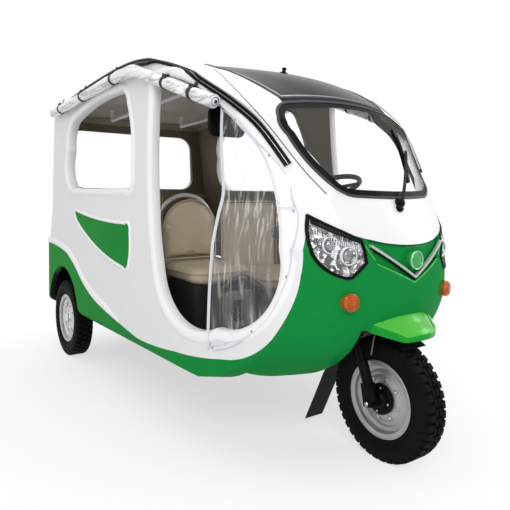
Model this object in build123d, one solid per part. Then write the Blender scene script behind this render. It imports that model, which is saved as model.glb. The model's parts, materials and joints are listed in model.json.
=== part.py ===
from build123d import *
import math
import os

# Electric passenger tricycle, full size, in millimetres.
# +X is the vehicle's left, its front faces -Y and +Z is up.  All lengths along Y
# below are measured from the front axle; export() moves the part so that its
# origin lies on the ground, midway between its front and rear ends.

# ---------------------------------------------------------------- driving sizes
WHEELBASE = 2450
FRONT_REACH = 272.5      # front axle to the front of its tyre
REAR_REACH = 2920        # front axle to the back of the rear skirt
HALF_WIDTH = 691         # half width of the body at its waist
BODY_BOTTOM = 330
WALL = 36                # whole thickness of a double body wall
GLASS = 6

# wheels
TYRE_RADIUS = 272.5
TYRE_WIDTH = 126
RIM_RADIUS = 170         # outer radius of the rim's flange
RIM_SEAT_RADIUS = 152
RIM_WIDTH = 104
TYRE_FIT = 0.3           # gap between the tyre's bead and the rim
HUB_RADIUS = 66
HUB_TUBE_RADIUS = 34      # rear hub where it passes the wheel's disc
PLATE_HOLE = 30          # hole in a wheel's disc, inside its hub
REAR_TRACK_HALF = 622    # middle of a rear tyre from the middle of the vehicle

# steering
RAKE = 20.9              # lean of the steering axis from upright, in degrees
AXIS_Y_AT_AXLE = 45      # steering axis behind the axle, at the axle's height
FORK_LEG_RADIUS = 17
FORK_SLEEVE_RADIUS = 24
FORK_SPREAD = 92         # a leg from the middle
STEM_RADIUS = 16
HEAD_RADIUS = 30
HEAD_CLEARANCE = 0.5
STEERING_RING_RADIUS = 170
STEERING_TUBE_RADIUS = 12

CROWN_HIGH = 600
HEAD_LOW = 622
HEAD_HIGH = 790
RING_HIGH = 1200
GUARD_RADIUS = 292       # inside of the front mudguard from the wheel's centre
GUARD_FLAP = [(238, 437), (290, 393), (345, 299), (480, 30), (484, 31), (349, 301),
              (294, 396), (241, 441)]       # its rubber flap from the side, (y, z)
FLAP_HALF = 58

# rear axle
AXLE_END_RADIUS = 18
AXLE_TUBE_RADIUS = 34
RAIL_X = 430             # frame rail and spring from the middle
RAIL_HIGH = 45
SPRING_TOP = 342

# cab
BEAK_REACH = 202         # front axle to the blunt end of the beak
FIN_DEPTH = 10
LAMP_DEPTH = 24
SIGNAL_X = 314
SIGNAL_Z = 739
TRIM_PROUD = 6           # nose trim and lamp frames above the body
LAMP_FRAME = (-7, 8)     # edges of a lamp's frame, from the lamp's outline
RECESS_DEPTH = 14        # recess of the nose behind its trim
PLATE_THICK = 2
DASH_LOW = 985
DASH_HIGH = 1035
DASH_REAR = 250
RAIL_RADIUS = 15
ROLL_RADIUS = 30
SHEET_GAP = 3            # vinyl sheet from the body
SEAT_BASE_TOP = 650      # under the driver
PASSENGER_BASE_TOP = 710 # under the front passenger
FLOOR_TOP = 430
FLOOR_THICK = 18
MAT_THICK = 4
CUSHION_GAP = 0.3


def export(shape, name):
    middle = (REAR_REACH - FRONT_REACH) / 2
    moved = Pos(0, -middle, 0) * shape
    export_step(moved, "parts/" + name + ".step")


def box_between(x, y, z):
    """Box from three (low, high) pairs."""
    size = (x[1] - x[0], y[1] - y[0], z[1] - z[0])
    centre = ((x[0] + x[1]) / 2, (y[0] + y[1]) / 2, (z[0] + z[1]) / 2)
    return Pos(*centre) * Box(*size)


def tube_between(start, end, radius, bore=0):
    """Round bar, or tube with a bore, from one point to another."""
    a = Vector(*start)
    b = Vector(*end)
    way = b - a
    plane = Plane(origin=a, z_dir=way)
    bar = extrude(plane * Circle(radius), way.length)
    if bore:
        bar = bar - extrude(plane * Circle(bore), way.length)
    return bar


def disc(centre, radius, low, high):
    """Disc across the vehicle, from x = low to x = high, about (y, z)."""
    plane = Plane(origin=(low, centre[0], centre[1]), x_dir=(0, 1, 0), z_dir=(1, 0, 0))
    return extrude(plane * Circle(radius), high - low)


def side_plane(x):
    """Drawing plane seen from the vehicle's left; its u runs along Y, its v along Z."""
    return Plane(origin=(x, 0, 0), x_dir=(0, 1, 0), z_dir=(1, 0, 0))


def arc_outline(start, arcs):
    """Edges through points: rows are (middle u, middle v, end u, end v), or
    (end u, end v) for a straight run."""
    edges = []
    here = start
    for row in arcs:
        if len(row) == 2:
            there = row
            edges.append(Line(here, there))
        else:
            there = (row[2], row[3])
            edges.append(ThreePointArc(here, (row[0], row[1]), there))
        here = there
    return edges


def side_cutter(start, arcs, x=(-900, 900)):
    """Closed side outline, extruded across the vehicle."""
    edges = arc_outline(start, arcs)
    first = (start[0], start[1])
    last = arcs[-1][-2:]
    if abs(first[0] - last[0]) + abs(first[1] - last[1]) > 1e-6:
        edges.append(Line(last, first))
    face = make_face(edges)
    return extrude(side_plane(x[0]) * face, x[1] - x[0])


# ---------------------------------------------------------------- body surface
# Side view of the hull: each row is a point at the middle plane and the same
# point at x = EDGE_X, as (y middle, z middle, y edge, z edge).
EDGE_X = 700
HULL_ROWS = [
    (300, 330, 640, 330),       # 0 front end of the flat bottom
    (95, 412, 450, 412),        # 1 mid arc
    (-20, 500, 345, 500),       # 2
    (-110, 640, 270, 640),      # 3 mid arc
    (-143, 850, 239, 850),      # 4 nose
    (-143, 950, 239, 950),      # 5 hood lip
    (-108, 1048, 262, 1048),    # 6 mid arc
    (-61, 1140, 282, 1140),     # 7 windshield foot
    (86, 1393, 266, 1267),      # 8 mid arc
    (275, 1617, 390, 1470),     # 9 header
    (500, 1757, 572, 1640),     # 10 mid arc
    (744, 1843, 790, 1760),     # 11
    (1060, 1908, 1060, 1868),   # 12 mid arc
    (1400, 1940, 1400, 1911),   # 13 crown
    (1991, 1916, 1991, 1887),   # 14 mid arc
    (2825, 1847, 2800, 1818),   # 15 rear edge of the roof
    (2815, 1480, 2775, 1480),   # 16 mid arc
    (2790, 1137, 2745, 1137),   # 17
    (2800, 990, 2760, 990),     # 18 mid arc
    (2840, 838, 2800, 838),     # 19
]
HULL_SPANS = [(1, 2), (3, 4), (5,), (6, 7), (8, 9), (10, 11), (12, 13), (14, 15),
              (16, 17), (18, 19)]

# Plan of the hull at several heights: (z, half width, radius of the side's bow,
# y where the bow ends, corner radius, angle where the corner ends)
BOW_START = 1126
PLAN_ROWS = [
    (300, 691, 3104, 150, 206, 50),
    (950, 691, 3104, 150, 206, 50),
    (1140, 683, 2600, 200, 206, 50),
    (1330, 676, 2150, 250, 150, 55),
    (1990, 642, 2000, 650, 150, 55),
]
REAR_CORNER = 90
SPARE = 150              # how far a cutting shape runs past what it cuts
BILGE = 80


def plan_wire(row, inset):
    z, half, bow, bow_end, corner, leave = row
    half = half - inset
    bow = bow - inset
    corner = corner - inset
    back = REAR_REACH + 200
    turn = math.degrees(math.asin((BOW_START - bow_end) / (bow + inset)))
    centre_x = half - bow

    def on_bow(angle):
        a = math.radians(angle)
        return (centre_x + bow * math.cos(a), BOW_START - bow * math.sin(a))

    p1 = (half, BOW_START)
    p2 = on_bow(turn / 2)
    p3 = on_bow(turn)
    a = math.radians(turn)
    cx = p3[0] - corner * math.cos(a)
    cy = p3[1] + corner * math.sin(a)

    def on_corner(angle):
        b = math.radians(angle)
        return (cx + corner * math.cos(b), cy - corner * math.sin(b))

    p4 = on_corner((turn + leave) / 2)
    p5 = on_corner(leave)
    b = math.radians(leave)
    reach = p5[0] / math.sin(b)
    p6 = (0, p5[1] - reach * math.cos(b))
    right = [p1, p2, p3, p4, p5]
    left = [(-p[0], p[1]) for p in right]
    edges = [
        Line((half, back), p1),
        ThreePointArc(p1, p2, p3),
        ThreePointArc(p3, p4, p5),
        Line(p5, p6),
        Line(p6, left[4]),
        ThreePointArc(left[4], left[3], left[2]),
        ThreePointArc(left[2], left[1], left[0]),
        Line(left[0], (-half, back)),
        Line((-half, back), (half, back)),
    ]
    return Pos(0, 0, z) * make_face(edges)


def profile_face(x, share, inset):
    """Side profile of the hull at one x; share is (x / EDGE_X) squared."""
    points = [(ym + (ye - ym) * share, zm + (ze - zm) * share) for ym, zm, ye, ze in HULL_ROWS]
    if inset:
        points = inset_points(points, inset)
    edges = []
    here = points[0]
    for span in HULL_SPANS:
        there = points[span[-1]]
        if len(span) == 1:
            edges.append(Line(here, there))
        else:
            edges.append(ThreePointArc(here, points[span[0]], there))
        here = there
    beyond = REAR_REACH + SPARE
    below = BODY_BOTTOM - SPARE
    for there in ((beyond, 800), (beyond, below), (points[0][0], below), points[0]):
        edges.append(Line(here, there))
        here = there
    return side_plane(x) * make_face(edges)


def inset_points(points, inset):
    """Each point moved inwards, square to the line through its neighbours."""
    result = []
    last = len(points) - 1
    for i, point in enumerate(points):
        if i == 0:
            result.append((point[0] + inset, point[1] + inset))
            continue
        before = points[i - 1]
        after = points[min(i + 1, last)]
        dy = after[0] - before[0]
        dz = after[1] - before[1]
        size = math.hypot(dy, dz)
        result.append((point[0] + dz / size * inset, point[1] - dy / size * inset))
    return result


def hull(inset):
    """Solid hull, made smaller by inset on every side."""
    plan = loft([plan_wire(row, inset) for row in PLAN_ROWS], ruled=True)
    faces = [profile_face(-EDGE_X, 1, inset), profile_face(0, 0, inset),
             profile_face(EDGE_X, 1, inset)]
    side = loft(faces)
    bottom = BODY_BOTTOM + inset
    half = HALF_WIDTH + 0.5
    belly = box_between((-half + inset, half - inset), (-400, REAR_REACH + SPARE), (bottom, 2100))
    edges = belly.edges().filter_by(Axis.Y).group_by(Axis.Z)[0]
    belly = fillet(edges, BILGE - inset)
    rear = box_between((-half + inset, half - inset), (-400, REAR_REACH - inset), (0, 2100))
    edges = rear.edges().filter_by(Axis.Z).group_by(Axis.Y)[-1]
    rear = fillet(edges, REAR_CORNER - inset)
    return plan & side & belly & rear


def both_sides(shape):
    """The piece and its mirror image on the vehicle's left, as (right, left)."""
    return shape, mirror(shape, Plane.YZ)


def rounded_box(x, y, z, radius, axis=Axis.Z):
    """Box with its edges along one axis rounded."""
    block = box_between(x, y, z)
    return fillet(block.edges().filter_by(axis), radius)


def front_cutter(points, y=(-400, 2000), grow=0):
    """Closed outline seen from the front, as (start, arcs), cut through along Y and
    made larger by grow."""
    start, arcs = points
    edges = arc_outline(start, arcs)
    last = arcs[-1][-2:]
    if abs(start[0] - last[0]) + abs(start[1] - last[1]) > 1e-6:
        edges.append(Line(last, start))
    plane = Plane(origin=(0, y[1], 0), x_dir=(1, 0, 0), z_dir=(0, -1, 0))
    face = make_face(edges)
    if grow:
        face = offset(face, grow, kind=Kind.ARC)
    return extrude(plane * face, y[1] - y[0])


# ---------------------------------------------------------------- panel outlines
# Side views, (y, z).  Rows after the start are (middle y, middle z, end y, end z)
# for an arc and (end y, end z) for a straight run.
GREEN_LINE = ((2990, 812), [
    (2604, 793, 2370, 761), (2217, 700, 2074, 622), (1887, 535, 1715, 488),
    (1430, 440, 1141, 400), (934, 402, 742, 414), (564, 424, 408, 446),
    (251, 493, 150, 575), (85, 690, 51, 842), (47, 970, 73, 1091),
    (-15, 1035, -100, 985), (-140, 962, -400, 953), (-400, 200), (2990, 200)])
CROWN_LINE = ((-30, 1085), [
    (120, 1300, 256, 1460), (400, 1597, 544, 1700), (760, 1796, 1060, 1858),
    (1398, 1880, 1800, 1866), (2300, 1822, 2990, 1740), (2990, 2100), (-400, 2100),
    (-400, 1085)])
DOOR = ((1016, 1770), [
    (1008, 1400, 912, 798), (822, 628, 455, 570), (215, 650, 113, 896),
    (195, 1205, 371, 1468), (530, 1600, 720, 1715), (880, 1767, 1016, 1770)])
REAR_WINDOW = ((2410, 1500), [
    (2400, 1650, 2300, 1715), (2000, 1770, 1500, 1785), (1400, 1770, 1340, 1690),
    (1255, 1480, 1241, 1300), (1255, 1215, 1330, 1208), (1800, 1210, 2241, 1219),
    (2370, 1270, 2410, 1500)])
FIN = ((2206, 1069), [
    (1806, 1025, 1300, 1008), (1245, 1000, 1237, 960), (1232, 870, 1250, 800),
    (1275, 765, 1330, 768), (1750, 850, 2154, 1010)])
ARCH_CENTRE = (2480, 300)
ARCH_RADIUS = 352
BACK_WINDOW = (545, 1237, 1700)      # half width, bottom, top
WELL_HALF = 225
WELL_REAR = 335
WELL_TOP = 610
HEADLAMP = ((-435, 945), [(-436, 1010, -417, 1091), (-330, 1030, -254, 988), (-239, 894),
                          (-297, 834), (-319, 832), (-400, 880, -435, 945)])
RECESS = ((-231, 1000), [(-231, 978), (-200, 892), (0, 803), (200, 892), (231, 978), (231, 1000)])
NOSE_TRIM = ((-236, 960), [(0, 811), (236, 960), (230, 975), (0, 829), (-230, 975)])
SHEET = ((400, 1540), [(350, 1350, 385, 1000), (430, 760, 520, 500), (330, 520, 190, 640),
                       (110, 800, 105, 1020), (140, 1260, 400, 1540)])
RAIL_POINTS = [(-462, 170, 1323), (-497, 300, 1478), (-540, 442, 1592), (-583, 590, 1688),
               (-622, 790, 1800), (-648, 1060, 1874), (-650, 1400, 1908), (-650, 2000, 1888),
               (-650, 2815, 1820)]
ROLL_POINTS = [(-600, 492, 1590), (-680, 1232, 1856), (-690, 2680, 1800)]
# Front view of the windshield and plan of the tinted roof light, (x, z) and (x, y).
WINDSHIELD = ((-285, 1168), [
    (0, 1160, 285, 1168), (355, 1290, 402, 1430), (415, 1510, 340, 1582),
    (0, 1605, -340, 1582), (-415, 1510, -402, 1430), (-355, 1290, -285, 1168)])
ROOF_LIGHT = ((-338, 340), [
    (0, 300, 338, 340), (388, 520, 402, 702), (385, 890, 300, 1070),
    (0, 1110, -300, 1070), (-385, 890, -402, 702), (-388, 520, -338, 340)])
ROOF_SPLIT = 1150        # joint between the front frame and the roof panel
HOOD_SPLIT = 40          # joint between the hood and the side panels
SIDE_SPLIT = 2690        # joint between the side panels and the rear panel
NOSE_SPLIT = 300         # joint between the nose and the side skirts


def steer_point(height):
    """Point on the steering axis at a height, as (y, z)."""
    lean = math.tan(math.radians(RAKE))
    return (AXIS_Y_AT_AXLE + (height - TYRE_RADIUS) * lean, height)


def body_panels(outer, inner):
    """The double-walled body, split into its panels."""
    shell = outer - inner
    belly = box_between((-530, 530), (WELL_REAR, REAR_REACH - 60), (0, 420))
    well = box_between((-WELL_HALF, WELL_HALF), (-400, WELL_REAR), (0, WELL_TOP))
    arches = Part()
    for side in (-1, 1):
        low, high = sorted((side * 900, side * 535))
        arches += disc(ARCH_CENTRE, ARCH_RADIUS, low, high)
    shell = shell - belly - well - arches
    for side in (-1, 1):
        across = (-900, -300) if side < 0 else (300, 900)
        shell -= side_cutter(*DOOR, x=across)
        shell -= side_cutter(*REAR_WINDOW, x=across)
    half, low, high = BACK_WINDOW
    shell -= rounded_box((-half, half), (2600, 3000), (low, high), 110, Axis.Y)
    green = side_cutter(*GREEN_LINE)
    crown = side_cutter(*CROWN_LINE)
    lower = shell & green
    upper = (shell & crown) - green
    middle = shell - green - crown
    panels = {}
    far = 3200
    panels["nose_shell"] = lower & box_between((-900, 900), (-400, NOSE_SPLIT), (0, 1500))
    flanks = lower & box_between((-900, 900), (NOSE_SPLIT, SIDE_SPLIT), (0, 1500))
    panels["skirt_left"] = flanks & box_between((0, 900), (0, far), (0, 1500))
    panels["skirt_right"] = mirror(panels["skirt_left"], Plane.YZ)
    panels["skirt_rear"] = lower & box_between((-900, 900), (SIDE_SPLIT, far), (0, 1500))
    panels["hood"] = middle & box_between((-900, 900), (-400, HOOD_SPLIT), (0, 2100))
    walls = middle & box_between((-900, 900), (HOOD_SPLIT, SIDE_SPLIT), (0, 2100))
    panels["side_left"] = walls & box_between((0, 900), (0, far), (0, 2100))
    panels["rear_panel"] = middle & box_between((-900, 900), (SIDE_SPLIT, far), (0, 2100))
    panels["roof_panel"] = upper & box_between((-900, 900), (ROOF_SPLIT, far), (0, 2100))
    frame = upper & box_between((-900, 900), (-400, ROOF_SPLIT), (0, 2100))
    glass_cut = front_cutter(WINDSHIELD, (-400, 700))
    start, arcs = ROOF_LIGHT
    light_cut = Pos(0, 0, 1500) * extrude(make_face(arc_outline(start, arcs)), 600)
    panels["front_frame"] = frame - glass_cut - light_cut
    return panels, glass_cut & crown, light_cut


def tyre():
    """Tyre about the X axis at the origin, out to its tread."""
    half = TYRE_WIDTH / 2
    bead = RIM_RADIUS + TYRE_FIT
    seat = RIM_SEAT_RADIUS + TYRE_FIT
    bead_half = RIM_WIDTH / 2 - 8
    outline = [
        Line((seat, -bead_half), (seat, bead_half)),
        Line((seat, bead_half), (bead + 3, bead_half + 4)),
        ThreePointArc((bead + 3, bead_half + 4), (220, half), (252, half - 4)),
        ThreePointArc((252, half - 4), (268, half - 10), (TYRE_RADIUS, half - 24)),
        Line((TYRE_RADIUS, half - 24), (TYRE_RADIUS, -half + 24)),
        ThreePointArc((TYRE_RADIUS, -half + 24), (268, -half + 10), (252, -half + 4)),
        ThreePointArc((252, -half + 4), (220, -half), (bead + 3, -bead_half - 4)),
        Line((bead + 3, -bead_half - 4), (seat, -bead_half)),
    ]
    face = make_face(outline)
    ring = revolve(Plane.XZ * face, Axis.Z, 360)
    return Rot(0, 90, 0) * ring


def spun(points):
    """Solid turned about the X axis from (radius, x) points."""
    face = make_face(Polyline(*points, close=True))
    return Rot(0, 90, 0) * revolve(Plane.XZ * face, Axis.Z, 360)


def rim(outer_side):
    """Pressed rim with its disc towards outer_side and a hub, about the X axis."""
    half = RIM_WIDTH / 2
    band = [(RIM_RADIUS, half), (RIM_RADIUS, half - 4), (RIM_SEAT_RADIUS, half - 8),
            (RIM_SEAT_RADIUS, 22), (132, 14), (132, -14), (RIM_SEAT_RADIUS, -22),
            (RIM_SEAT_RADIUS, -half + 8), (RIM_RADIUS, -half + 4), (RIM_RADIUS, -half),
            (RIM_SEAT_RADIUS - 4, -half + 4), (RIM_SEAT_RADIUS - 4, -20), (127, -13),
            (127, 13), (RIM_SEAT_RADIUS - 4, 20), (RIM_SEAT_RADIUS - 4, half - 4)]
    plate = [(128, 10), (128, 16), (100, 22), (70, 30), (PLATE_HOLE, 30), (PLATE_HOLE, 24),
             (68, 24), (98, 16)]
    shape = spun(band) + spun(plate)
    if outer_side > 0:
        return shape
    return mirror(shape, Plane.YZ)


def body_group(outer, inner):
    """Body panels, glass and the green inserts."""
    panels, glass_cut, light_cut = body_panels(outer, inner)
    skin = outer - hull(GLASS)
    panels["windshield_glass"] = skin & glass_cut
    panels["roof_light"] = skin & light_cut
    insert = (outer - hull(FIN_DEPTH)) & side_cutter(*FIN, x=(-900, -500))
    right, left = both_sides(insert)
    panels["side_left"] = panels["side_left"] - left
    panels["side_right"] = mirror(panels["side_left"], Plane.YZ)
    panels["insert_right"] = right
    panels["insert_left"] = left
    return panels


def floor_group(inner):
    """Floor with its sloping toe board, and the frame below it."""
    toe_foot = (430, FLOOR_TOP)
    toe_top = (60, 800)
    outline = [toe_foot, (REAR_REACH, FLOOR_TOP), (REAR_REACH, FLOOR_TOP - FLOOR_THICK),
               (toe_foot[0] - 8, FLOOR_TOP - FLOOR_THICK), (toe_top[0] - 13, toe_top[1] - 12),
               toe_top]
    pan = extrude(side_plane(-800) * make_face(Polyline(*outline, close=True)), 1600) & inner
    wells = box_between((-900, -530), (2090, 2870), (0, 700))
    wells += box_between((530, 900), (2090, 2870), (0, 700))
    pan = pan - wells
    hole_low = steer_point(500)
    hole_high = steer_point(900)
    pan = pan - tube_between((0, *hole_low), (0, *hole_high), HEAD_RADIUS + 8)
    rail_top = FLOOR_TOP - FLOOR_THICK
    rails = Part()
    for side in (-1, 1):
        x = sorted((side * (RAIL_X - 25), side * (RAIL_X + 25)))
        rails += box_between(x, (440, 2840), (rail_top - RAIL_HIGH, rail_top))
    for y in (440, 1000, 1560, 2060, 2800):
        rails += box_between((-RAIL_X, RAIL_X), (y, y + 40), (rail_top - RAIL_HIGH, rail_top))
    head_low = steer_point(HEAD_LOW)
    head_high = steer_point(HEAD_HIGH)
    head = tube_between((0, *head_low), (0, *head_high), HEAD_RADIUS)
    for side in (-1, 1):
        start = (side * 150, 465, rail_top - 25)
        end = (side * 12, head_high[0] + 10, HEAD_HIGH - 25)
        rails += tube_between(start, end, 19)
    bore = tube_between((0, *steer_point(HEAD_LOW - 60)), (0, *steer_point(HEAD_HIGH + 60)),
                        STEM_RADIUS + HEAD_CLEARANCE)
    frame = rails + head - bore
    pieces = {"chassis_frame": frame, "floor_pan": pan - frame}
    dash = rounded_box((-460, 460), (-200, DASH_REAR), (DASH_LOW, DASH_HIGH), 24, Axis.X)
    pieces["dash"] = dash & inner
    pieces["floor_mat"] = rounded_box((-480, 480), (1330, 2080), (FLOOR_TOP, FLOOR_TOP + MAT_THICK), 40)
    return pieces


def fork_group():
    """Fork with its stem, mudguard and steering ring, all on the raked axis."""
    lean = math.radians(RAKE)
    axis = (0, math.sin(lean), math.cos(lean))

    def at(x, forward, height):
        """Point beside the steering axis: forward of it, at a height up the axis."""
        y, z = steer_point(height)
        return (x, y - forward * math.cos(lean), z + forward * math.sin(lean))

    offset = AXIS_Y_AT_AXLE * math.cos(lean)
    legs = Part()
    for side in (-1, 1):
        x = side * FORK_SPREAD
        foot = (x, 0, TYRE_RADIUS)
        middle = at(x, offset, 420)
        top = at(x, offset, CROWN_HIGH)
        legs += tube_between(foot, middle, FORK_SLEEVE_RADIUS)
        legs += tube_between(middle, top, FORK_LEG_RADIUS)
        legs += disc((0, TYRE_RADIUS), 26, x - 13, x + 13)
    crown_mid = at(0, offset / 2, CROWN_HIGH)
    plane = Plane(origin=crown_mid, x_dir=(1, 0, 0), z_dir=axis)
    crown = Box(2 * FORK_SPREAD + 56, offset + 52, 26)
    crown = fillet(crown.edges().filter_by(Axis.Z), 20)
    stem = tube_between((0, *steer_point(CROWN_HIGH)), (0, *steer_point(RING_HIGH)), STEM_RADIUS)
    axle = disc((0, TYRE_RADIUS), 9, -FORK_SPREAD, FORK_SPREAD)
    fork = legs + plane.location * crown - stem - axle
    pieces = {"fork": fork, "steering_stem": stem, "front_axle": axle}
    guard = disc((0, TYRE_RADIUS), GUARD_RADIUS + 4, -70, 70)
    guard -= disc((0, TYRE_RADIUS), GUARD_RADIUS, -80, 80)
    keep = side_cutter((0, TYRE_RADIUS), [(-200, 605), (0, 700), (330, 600), (300, 482)],
                       x=(-80, 80))
    guard = guard & keep
    flap_face = make_face(Polyline(*GUARD_FLAP, close=True))
    flap = extrude(side_plane(-FLAP_HALF) * flap_face, 2 * FLAP_HALF)
    stay_y, stay_z = GUARD_RADIUS * math.sin(lean), TYRE_RADIUS + GUARD_RADIUS * math.cos(lean)
    for side in (-1, 1):
        x = sorted((side * 60, side * (FORK_SPREAD - FORK_LEG_RADIUS - CUSHION_GAP)))
        guard += box_between(x, (stay_y - 16, stay_y + 16), (stay_z - 10, stay_z + 22))
    pieces["front_mudguard"] = guard + flap
    ring_plane = Plane(origin=(0, *steer_point(RING_HIGH)), x_dir=(1, 0, 0), z_dir=axis)
    ring = Torus(STEERING_RING_RADIUS, STEERING_TUBE_RADIUS)
    hub = Cylinder(38, 40)
    spokes = Part()
    for turn in (90, 210, 330):
        a = math.radians(turn)
        tip = (STEERING_RING_RADIUS * math.cos(a), STEERING_RING_RADIUS * math.sin(a), 0)
        spokes += tube_between((0, 0, 0), tip, 9)
    wheel = ring + hub + spokes
    wheel = wheel - Pos(0, 0, -30) * Cylinder(STEM_RADIUS, 60)
    pieces["steering_wheel"] = ring_plane.location * wheel
    return pieces


def wheel_group():
    """Wheels: tyre and rim each, the rear ones with brake drums."""
    pieces = {}
    round_tyre = tyre()
    front = Pos(0, 0, TYRE_RADIUS)
    hub = spun([(9.5, -46), (HUB_RADIUS, -46), (HUB_RADIUS, -30), (50, -20), (50, 20),
                (HUB_RADIUS, 24), (HUB_RADIUS, 46), (9.5, 46)])
    pieces["front_tyre"] = front * round_tyre
    pieces["front_rim"] = front * (rim(-1) + hub)
    for name, side in (("right", -1), ("left", 1)):
        place = Pos(side * REAR_TRACK_HALF, WHEELBASE, TYRE_RADIUS)
        bore = AXLE_END_RADIUS + 0.5
        drum = spun([(bore, -50), (115, -50), (115, 4), (60, 18), (HUB_TUBE_RADIUS, 18),
                     (HUB_TUBE_RADIUS, 48), (bore, 48)])
        if side < 0:
            drum = mirror(drum, Plane.YZ)
        pieces["rear_tyre_" + name] = place * round_tyre
        pieces["rear_rim_" + name] = place * (rim(side) + drum)
    return pieces


def axle_group():
    """Rear axle with its motor and final drive, and the leaf springs."""
    z = TYRE_RADIUS
    y = WHEELBASE
    end = REAR_TRACK_HALF - 56
    tube = disc((y, z), AXLE_TUBE_RADIUS, -end, end)
    ends = disc((y, z), AXLE_END_RADIUS, -REAR_TRACK_HALF - 40, REAR_TRACK_HALF + 40)
    drive = Pos(0, y, z) * Sphere(105)
    motor = tube_between((70, y - 90, z + 10), (70, y - 330, z + 10), 80)
    pieces = {"rear_axle": tube + ends + drive + motor}
    for name, side in (("right", -1), ("left", 1)):
        x = side * RAIL_X
        leaves = Part()
        for i, (half, low) in enumerate(((370, 0), (280, -9), (180, -18))):
            leaves += box_between((x - 27, x + 27), (y - half, y + half),
                                  (SPRING_TOP + low - 8, SPRING_TOP + low + 1))
        leaves += box_between((x - 36, x + 36), (y - 45, y + 45), (z + 20, SPRING_TOP - 20))
        for end_y in (y - 370, y + 370):
            leaves += disc((end_y, SPRING_TOP - 3), 17, x - 27, x + 27)
            leaves += box_between((x - 20, x + 20), (end_y - 14, end_y + 14),
                                  (SPRING_TOP, FLOOR_TOP - FLOOR_THICK - RAIL_HIGH))
        pieces["leaf_spring_" + name] = leaves - disc((y, z), AXLE_TUBE_RADIUS, -end, end)
    return pieces


def seat_group():
    """Seats, with their bases standing on the floor."""
    pieces = {}
    base = rounded_box((-520, -150), (800, 1260), (FLOOR_TOP, PASSENGER_BASE_TOP), 40)
    base += rounded_box((-120, 320), (760, 1260), (FLOOR_TOP, SEAT_BASE_TOP), 40)
    pieces["front_seat_base"] = base
    low = SEAT_BASE_TOP + CUSHION_GAP
    pieces["driver_cushion"] = rounded_box((-120, 330), (720, 1190), (low, low + 95), 60)
    low = PASSENGER_BASE_TOP + CUSHION_GAP
    pieces["passenger_cushion"] = rounded_box((-530, -150), (770, 1210), (low, low + 95), 70)
    low = low + 95 + CUSHION_GAP
    back = rounded_box((-520, -170), (1150, 1210), (low, 1150), 160, Axis.Y)
    pieces["passenger_back"] = back
    pieces["driver_back"] = rounded_box((-110, 320), (1195, 1250),
                                       (SEAT_BASE_TOP + CUSHION_GAP, 1140), 25, Axis.Y)
    hoop = Part()
    path_y = 1232
    for x in (-528, -162):
        hoop += tube_between((x, path_y, PASSENGER_BASE_TOP), (x, path_y, 990), 13)
    arch = ThreePointArc((-528, 990), (-345, 1173), (-162, 990))
    bend = Plane(origin=(0, path_y, 0), x_dir=(1, 0, 0), z_dir=(0, -1, 0)) * arch
    section = Plane(origin=(-528, path_y, 990), z_dir=(0, 0, 1)) * Circle(13)
    hoop += sweep(section, path=bend)
    pieces["seat_hoop"] = hoop
    bench_base = box_between((-510, 510), (2180, 2690), (FLOOR_TOP, 590))
    pieces["bench_base"] = bench_base
    low = 590 + CUSHION_GAP
    pieces["bench_cushion"] = rounded_box((-510, 510), (2130, 2624), (low, low + 100), 50)
    low = low + 100 + CUSHION_GAP
    backs = Part()
    for x in (-300, 300):
        backs += rounded_box((x - 240, x + 240), (2624 + CUSHION_GAP, 2708), (low - 60, 1155), 45,
                             Axis.Y)
    pieces["bench_back"] = backs
    return pieces


def trim_group(outer, inner):
    """Rails, rolled curtains, lamps, nose trim and small fittings."""
    pieces = {}
    rail = Part()
    for a, b in zip(RAIL_POINTS, RAIL_POINTS[1:]):
        rail += tube_between(a, b, RAIL_RADIUS)
        if b is not RAIL_POINTS[-1]:
            rail += Pos(*b) * Sphere(RAIL_RADIUS)
    right, left = both_sides(rail - outer)
    pieces["drip_rail_right"] = right
    pieces["drip_rail_left"] = left
    roll = Part()
    for a, b in zip(ROLL_POINTS, ROLL_POINTS[1:]):
        roll += tube_between(a, b, ROLL_RADIUS)
    roll += Pos(*ROLL_POINTS[1]) * Sphere(ROLL_RADIUS)
    right, left = both_sides(roll - hull(-CUSHION_GAP) - rail)
    pieces["curtain_roll_right"] = right
    pieces["curtain_roll_left"] = left
    sheet = side_cutter(*SHEET, x=(-900, -300)) & (hull(-SHEET_GAP - 3) - hull(-SHEET_GAP))
    pieces["curtain_sheet_right"] = sheet - rail - roll
    bars = Part()
    for x in (-300, 300):
        bars += tube_between((x, 1250, 1790), (x, 2500, 1760), 13)
        for y, z in ((1250, 1790), (2500, 1760)):
            bars += tube_between((x, y, z), (x, y, z + 150), 13)
    pieces["grab_rails"] = bars & inner
    pieces.update(nose_group(outer))
    return pieces


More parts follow.
